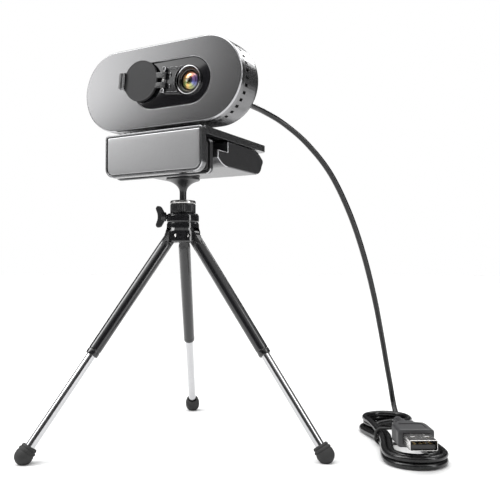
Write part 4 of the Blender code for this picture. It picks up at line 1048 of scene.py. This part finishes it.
def ribbed_pad(half_x, half_y, y, low, high, pitch):
    """A pad with rounded corners and fine ribs across it."""
    valley = high - 0.00022
    ribs = teeth(round(2 * half_y / pitch), y + half_y, y - half_y,
                 ((valley, 0.0), (high, 0.2), (high, 0.75), (valley, 0.95)))
    profile = [(y - half_y, low), (y + half_y, low)] + [(along, level) for level, along in ribs]
    bars = prism(profile, -half_x, half_x, "X")
    outline = rounded(half_x, half_y, (0.0017,) * 4, 0.0, y)
    edge = prism(outline, low - 0.001, high + 0.001, "Z")
    return combined(bars, edge, "INTERSECT")


def lower_arm():
    half = ARM_WIDTH / 2
    shape = softened(prism(arm_profile(), -half, half, "X"), 0.0006, 4, 50)
    for low, high in both_sides(0.0157, 0.0266):
        pocket = softened(box((low, HINGE_Y - 0.0041, HINGE_Z - 0.0041), (high, 0.040, 0.158)), 0.0004)
        shape = minus(shape, pocket)
    knuckle = rod_x(HINGE_RADIUS, -0.0154, 0.0154, HINGE_Y, HINGE_Z, 48, 0.0003)
    shape = plus(shape, knuckle)
    shape = minus(shape, rod_x(0.0018, -0.02, 0.02, HINGE_Y, HINGE_Z, 32))
    recess = rounded(0.0253, 0.0110, (0.002,) * 4, 0.0, 0.0112)
    shape = minus(shape, prism(recess, 0.1509, 0.154, "Z"))
    slot = rounded(0.0085, 0.0012, (0.00119,) * 4, 0.0, -0.0068)
    shape = minus(shape, prism(slot, 0.1450, 0.150, "Z"))
    shape = minus(shape, rod(0.0049, ARM_BOTTOM - 0.001, ARM_BOTTOM + 0.0072, 48))
    tongue = softened(box((-0.007, FOOT_Y, FOOT_Z - 0.0019), (0.007, -0.0100, FOOT_Z + 0.0019)), 0.0003)
    shape = plus(shape, tongue)
    shape = plus(shape, rod_x(0.0019, -0.007, 0.007, FOOT_Y, FOOT_Z, 32, 0.0002))
    shape = minus(shape, rod_x(0.0011, -0.02, 0.02, FOOT_Y, FOOT_Z, 24))
    piece("arm_body", shape, ARM, "arm", AXIS, "lower_arm", sharp=32, edges="X")
    piece("arm_grip", ribbed_pad(0.0250, 0.0107, 0.0112, 0.1512, ARM_TOP, 0.00107), RUBBER, "arm", AXIS,
          "arm_pad", sharp=30)
    bore, groove, low, high = 0.0033, 0.0037, 0.0003, 0.0068
    profile = [(bore, low), (0.0041, low), (0.0046, 0.0008), (0.0046, high), (bore, high)]
    profile += teeth(6, high, low, ((groove, 0.25), (groove, 0.55), (bore, 0.8)))
    insert = shift(lathe(profile, 48, True), 0.0, 0.0, ARM_BOTTOM)
    piece("threaded_insert", insert, STEEL, "arm", AXIS, "tripod_insert", sharp=30)
    piece("foot_hinge_pin", rod_x(0.0008, -0.0102, 0.0102, FOOT_Y, FOOT_Z, 24, 0.0002), STEEL, "arm", AXIS,
          "foot_pin")


def foot():
    place = AXIS @ Matrix.Translation((0.0, FOOT_Y, FOOT_Z))
    half = ARM_WIDTH / 2

    def row(inset, y):
        radius = 0.0025 - min(inset, 0.0018)
        return at_depth(rounded(half - inset, FOOT_HALF - inset, (radius,) * 4), y)
    rows = ((0.0030, -0.0037), (0.0012, -0.0037), (0.0012, -0.0044), (0.0003, -0.0044), (0.0, -0.0041),
            (0.0, -0.0024), (0.0002, -0.0022))
    shape = loft([row(*size) for size in rows])
    for low, high in both_sides(0.0074, 0.0104):
        shape = plus(shape, softened(box((low, -0.0030, -0.0017), (high, 0.0, 0.0017)), 0.0002))
        shape = plus(shape, rod_x(0.0019, low, high, 0.0, 0.0, 32, 0.0002))
    shape = minus(shape, rod_x(0.0011, -0.02, 0.02, 0.0, 0.0, 24))
    piece("foot_plate", shape, ARM, "foot", place, "foot_panel", sharp=32, edges="Y")
    rows = ((0.0022, -0.0053), (0.0018, -0.0051), (0.0016, -0.0047), (0.0016, -0.0040))
    pad = loft([row(*size) for size in rows])
    piece("foot_grip", pad, SOFT_PANEL, "foot", place, "foot_pad", sharp=30)


# ---------------------------------------------------------------- tripod

def ball_points(start, end, radius, steps):
    """The ball's outline between two heights above its middle."""
    first, last = acos(start / radius), acos(end / radius)
    angles = [first + (last - first) * i / steps for i in range(steps + 1)]
    return [(radius * sin(a), radius * cos(a)) for a in angles]


def ball_stud():
    """Ball, stem, flared platform and screw, about the ball's middle."""
    stem, platform = 0.00175, PLATFORM_TOP - BALL_Z
    ball = ball_points(-BALL_RADIUS * 0.985, sqrt(BALL_RADIUS ** 2 - stem ** 2), BALL_RADIUS, 28)
    rim, groove = PLATFORM_RADIUS, STUD_RADIUS - 0.0004
    flare = [(stem, 0.0086), (0.0018, 0.0098), (0.0021, 0.0109), (0.0028, 0.0121), (0.0040, 0.0133),
             (0.0055, 0.0143), (0.0070, 0.0150), (0.0080, 0.0153), (rim - 0.0002, 0.01545), (rim, 0.0157),
             (rim, 0.0164), (rim - 0.0002, 0.01655), (rim - 0.0002, 0.0169), (rim, 0.0171),
             (rim, platform - 0.0003), (rim - 0.0003, platform), (groove, platform)]
    thread = teeth(6, platform, platform + 0.0051,
                   ((groove, 0.1), (STUD_RADIUS, 0.45), (STUD_RADIUS, 0.6), (groove, 0.95)))
    top = platform + 0.0056
    profile = [(0.0, ball[0][1])] + ball + flare + thread + [(STUD_RADIUS - 0.0006, top), (0.0, top)]
    shape = lathe(profile, 72)
    piece("ball_and_stud", shape, MOULD, "ball", BALL, "ball_stud", sharp=30)
    low, high = platform + GAP, platform + 0.0011
    ring = [(0.0033, low), (0.0084, low), (0.0084, high - 0.0002), (0.0082, high)]
    for i in range(5):
        radius = 0.0078 - 0.0009 * i
        ring += [(radius, high), (radius - 0.0001, high - 0.0002), (radius - 0.00035, high - 0.0002),
                 (radius - 0.00045, high)]
    piece("platform_grip", lathe(ring + [(0.0033, high)], 72, True), RUBBER, "ball", BALL, "platform_pad",
          sharp=30)


def fluted(shape, low, high, radius, count, depth):
    """Draws in every other edge of a turned shape, between two heights and outside a radius."""
    for vert in shape.verts:
        reach = sqrt(vert.co.x ** 2 + vert.co.y ** 2)
        if low < vert.co.z < high and reach > radius:
            turn = atan2(vert.co.y, vert.co.x) * count
            share = 1 - depth / reach * (0.5 - 0.5 * cos(turn))
            vert.co.x *= share
            vert.co.y *= share
    return shape


def collar_and_hub():
    seat, low = BALL_RADIUS + GAP, HUB_TOP + GAP
    inner = [(r, z + BALL_Z) for r, z in ball_points(low - BALL_Z, 0.0029, seat, 12)]
    outer = [(0.0064, low), (0.0066, low + 0.0002), (0.0066, low + 0.0007), (0.0066, low + 0.0008),
             (0.0066, 0.1219), (0.0066, 0.1220), (0.0066, 0.1222), (0.0064, 0.1224), (0.0064, 0.1226)]
    profile = outer + [(0.0060, 0.1226), (0.0060, 0.1240), (inner[-1][0] + 0.0009, 0.1243)] + inner[::-1]
    shape = fluted(lathe(profile, 144, True), low + 0.0006, 0.12195, 0.0064, 36, 0.00022)
    piece("collar", shape, MOULD, "tripod", AXIS, "socket_collar", sharp=30)
    band = [(0.0061, 0.12265), (0.0065, 0.12265), (0.0066, 0.1229), (0.0066, 0.1238), (0.0063, 0.1243),
            (0.0061, 0.1243)]
    piece("collar_band", lathe(fillet(band, 0.00012, True, 3), 96, True), STEEL, "tripod", AXIS)

    bowl = [(r, z + BALL_Z) for r, z in ball_points(-seat * 0.985, HUB_TOP - BALL_Z, seat, 14)]
    outside = fillet([(0.0078, HUB_BOTTOM), (0.0088, HUB_BOTTOM), (0.0090, HUB_BOTTOM + 0.0006),
                      (0.0090, 0.1083), (0.0084, 0.1100), (0.0083, 0.1124), (0.0080, 0.1126),
                      (0.0080, 0.1132), (0.0083, 0.1134), (0.0083, 0.1164), (0.0077, HUB_TOP)], 0.0003)
    profile = [(0.0, HUB_BOTTOM)] + outside + bowl[::-1] + [(0.0, bowl[0][1])]
    shape = lathe(profile, 96)
    for turn in LEG_TURNS:
        slot = softened(box((0.0028, -0.0025, 0.100), (0.012, 0.0025, 0.1102)), 0.0004)
        shape = minus(shape, turned(slot, turn, "Z"))
        hole = shift(turned(rod(0.0013, -0.0062, 0.0062, 24), 90, "X"), LEG_PIVOT_R, 0.0, LEG_PIVOT_Z)
        shape = minus(shape, turned(hole, turn, "Z"))
    shape = minus(shape, turned(rod_x(0.0016, 0.0030, 0.012, 0.0, KNOB_Z, 24), KNOB_TURN, "Z"))
    piece("hub", shape, GLOSS, "tripod", AXIS, "hub_body", slot="moulded_black", sharp=32)


def lock_knob():
    """A small wing screw; its own X axis points out of the hub."""
    place = AXIS @ Matrix.Translation((0.0, 0.0, KNOB_Z)) @ Matrix.Rotation(radians(KNOB_TURN), 4, "Z")
    outline = fillet([(0.0090, -0.0013), (0.0112, -0.0054), (0.0134, -0.0057), (0.0142, -0.0044),
                      (0.0131, -0.0012), (0.0131, 0.0012), (0.0142, 0.0044), (0.0134, 0.0057),
                      (0.0112, 0.0054), (0.0090, 0.0013)], 0.0009, True, 6)
    shape = softened(prism(outline, -0.0010, 0.0010, "Y"), 0.00045, 4, 50)
    shape = plus(shape, rod_x(0.0024, 0.0087, 0.0112, 0.0, 0.0, 36, 0.0004))
    shape = plus(shape, rod_x(0.0013, 0.0049, 0.0100, 0.0, 0.0, 28, 0.0002))
    piece("wing_knob", shape, MOULD, "knob", place, "lock_knob", sharp=32)


def leg(number, turn):
    """One leg, drawn hanging straight down from its pivot and then spread."""
    azimuth = radians(turn)
    pivot = (LEG_PIVOT_R * cos(azimuth), LEG_PIVOT_R * sin(azimuth), LEG_PIVOT_Z)
    still = AXIS @ Matrix.Translation(pivot) @ Matrix.Rotation(azimuth, 4, "Z")
    place = still @ Matrix.Rotation(-LEG_SPREAD, 4, "Y")
    reach = (LEG_PIVOT_Z - FOOT_BALL_Z) / cos(LEG_SPREAD)
    rivet = fillet([(0.0, -0.0058), (0.0010, -0.0058), (0.0010, 0.0058), (0.0, 0.0058)], 0.0002)
    piece(f"leg_rivet_{number}", turned(lathe(rivet, 24), 90, "X"), STEEL, "tripod", still,
          f"leg_pin_{number}")

    end = -UPPER_TUBE_END
    tube = [(0.0, -0.0056), (0.0022, -0.0056), (0.0029, -0.0058), (0.0031, -0.0062), (0.0031, end + 0.0032),
            (0.00292, end + 0.0029), (0.00292, end + 0.0025), (0.0031, end + 0.0022), (0.0031, end + 0.0004),
            (0.0029, end), (0.0025, end), (0.0024, end + 0.0003), (0.0025, -0.0100), (0.0, -0.0100)]
    piece(f"leg_tube_{number}", lathe(tube, 48), LACQUER, f"leg_{number}", place, f"leg_upper_{number}",
          sharp=36)
    knuckle = softened(box((-0.0026, -0.0022, -0.0080), (0.0026, 0.0022, 0.0)), 0.0004)
    knuckle = plus(knuckle, turned(rod(0.0030, -0.0022, 0.0022, 40, 0.0003), 90, "X"))
    knuckle = minus(knuckle, turned(rod(0.0013, -0.005, 0.005, 24), 90, "X"))
    knuckle = plus(knuckle, lathe(fillet([(0.0, -0.0085), (0.0030, -0.0085), (0.0030, -0.0052),
                                          (0.0026, -0.0044), (0.0, -0.0044)], 0.0003), 40))
    piece(f"leg_knuckle_{number}", knuckle, MOULD, f"leg_{number}", place)

    foot_top = reach - 0.0050
    tube_end = foot_top + 0.0036
    lower = [(0.0017, -0.0560), (0.0022, -0.0560), (0.0022, -tube_end), (0.0017, -tube_end)]
    piece(f"leg_slider_{number}", lathe(lower, 48, True), CHROME, f"leg_end_{number}", place,
          f"leg_lower_{number}")

    rings = ((0.0026, 0.0), (0.0033, 0.0), (0.0036, 0.0003), (0.0038, 0.0010), (0.0036, 0.0013),
             (0.0037, 0.0016), (0.0041, 0.0020), (0.0042, 0.0027), (0.0039, 0.0030), (0.0040, 0.0034),
             (0.0042, 0.0038))
    outer = [(radius, -foot_top - below) for radius, below in rings] + [(FOOT_BALL_RADIUS, -reach)]
    steps = 14
    for i in range(1, steps):
        angle = pi / 2 * i / steps
        outer.append((FOOT_BALL_RADIUS * cos(angle), -reach - FOOT_BALL_RADIUS * sin(angle)))
    profile = outer + [(0.0, -reach - FOOT_BALL_RADIUS), (0.0, -tube_end - GAP), (0.0026, -tube_end - GAP)]
    shape = lathe(profile, 48, True)
    down = Matrix.Rotation(-LEG_SPREAD, 3, "Y").inverted() @ Vector((0.0, 0.0, -1.0))
    found = bmesh.ops.bisect_plane(shape, geom=shape.verts[:] + shape.edges[:] + shape.faces[:], dist=CLOSE,
                                   plane_co=down * LEG_PIVOT_Z, plane_no=down, clear_outer=True)
    rim = [part for part in found["geom_cut"] if isinstance(part, bmesh.types.BMEdge)]
    bmesh.ops.contextual_create(shape, geom=rim)
    bmesh.ops.transform(shape, matrix=place, verts=shape.verts)
    piece(f"leg_tip_{number}", shape, RUBBER, f"leg_end_{number}", IN_FRAME, f"leg_foot_{number}", sharp=36)


def legs():
    for number, turn in enumerate(LEG_TURNS, 1):
        leg(number, turn)


for make in (neck, upper_arm, clip_hinge, lower_arm, foot, ball_stud, collar_and_hub, lock_knob, legs):
    make()


# ---------------------------------------------------------------- studio
SOFTBOX_PLACE, SOFTBOX_AIM = (-0.534, -0.506, 0.435), (-0.087, 0.031, 0.162)
SOFTBOX_SIZE, SOFTBOX_ROLL = (0.39, 0.26), radians(33.4)


def area_light(name, place, aim, size, power, height=None, roll=0.0):
    data = bpy.data.lights.new(name, "AREA")
    data.energy = power
    data.shape = "RECTANGLE"
    data.size = size
    data.size_y = height or size
    facing = (Vector(aim) - Vector(place)).to_track_quat("-Z", "Y").to_matrix()
    made = in_scene(name, data)
    made.location = place
    made.rotation_euler = (facing @ Matrix.Rotation(roll, 3, "Z")).to_euler()
    return data


def fade_across(light):
    """Makes a light fade from its left end to its right one."""
    light.use_nodes = True
    tree = light.node_tree
    where = node(tree, "NewGeometry").outputs["Parametric"]
    across = node(tree, "SeparateXYZ", Vector=where).outputs["X"]
    level = node(tree, "MapRange", Value=across, From_Min=0.30, To_Min=1.0, To_Max=0.15)
    tree.links.new(level.outputs["Result"], tree.nodes["Emission"].inputs["Strength"])


def studio_world():
    """A white backdrop, and a soft sky above a dim horizon for the light and the reflections."""
    world = bpy.data.worlds.new("studio")
    world.use_nodes = True
    tree = world.node_tree
    height = node(tree, "SeparateXYZ", Vector=node(tree, "TexCoord").outputs["Generated"])
    levels = ((0.0, 0.06), (0.45, 0.08), (0.72, 0.95), (1.0, 1.0))
    sky = tree.nodes["Background"]
    tree.links.new(ramp(tree, height.outputs["Z"], [(at, (level,) * 3) for at, level in levels]),
                   sky.inputs["Color"])
    backdrop = node(tree, "Background", Color=(1.0, 1.0, 1.0, 1.0))
    choice = node(tree, "MixShader", Fac=node(tree, "LightPath").outputs["Is Camera Ray"])
    tree.links.new(sky.outputs["Background"], choice.inputs[1])
    tree.links.new(backdrop.outputs["Background"], choice.inputs[2])
    tree.links.new(choice.outputs["Shader"], tree.nodes["World Output"].inputs["Surface"])
    return world


def studio():
    scene = bpy.context.scene
    shape = bmesh.new()
    bmesh.ops.create_grid(shape, x_segments=1, y_segments=1, size=12.0)
    mesh = bpy.data.meshes.new("floor")
    shape.to_mesh(mesh)
    shape.free()
    mesh.materials.append(surface("floor_white", None, (0.86, 0.86, 0.86), 0.6, grain=30, vary=0.01, bump=0,
                                  specular=0.2))
    in_scene("floor", mesh)
    scene.world = studio_world()
    scene.view_settings.view_transform = "Standard"
    area_light("key", (-0.70, -0.60, 0.95), (0.0, 0.0, 0.12), 0.55, 6.0)
    fade_across(area_light("softbox", SOFTBOX_PLACE, SOFTBOX_AIM, SOFTBOX_SIZE[0], 1.5, SOFTBOX_SIZE[1],
                           SOFTBOX_ROLL))
    area_light("side", (0.75, -0.05, 0.40), (0.0, 0.0, 0.12), 0.16, 2.4, 0.8)
    area_light("rim", (0.05, 0.80, 0.72), (0.0, 0.0, 0.17), 0.40, 1.6, 0.20)
    sun = bpy.data.lights.new("sky_light", "SUN")
    sun.energy = 2.2
    sun.angle = radians(70)
    in_scene("sky_light", sun).rotation_euler = (radians(12), radians(-14), 0.0)


studio()
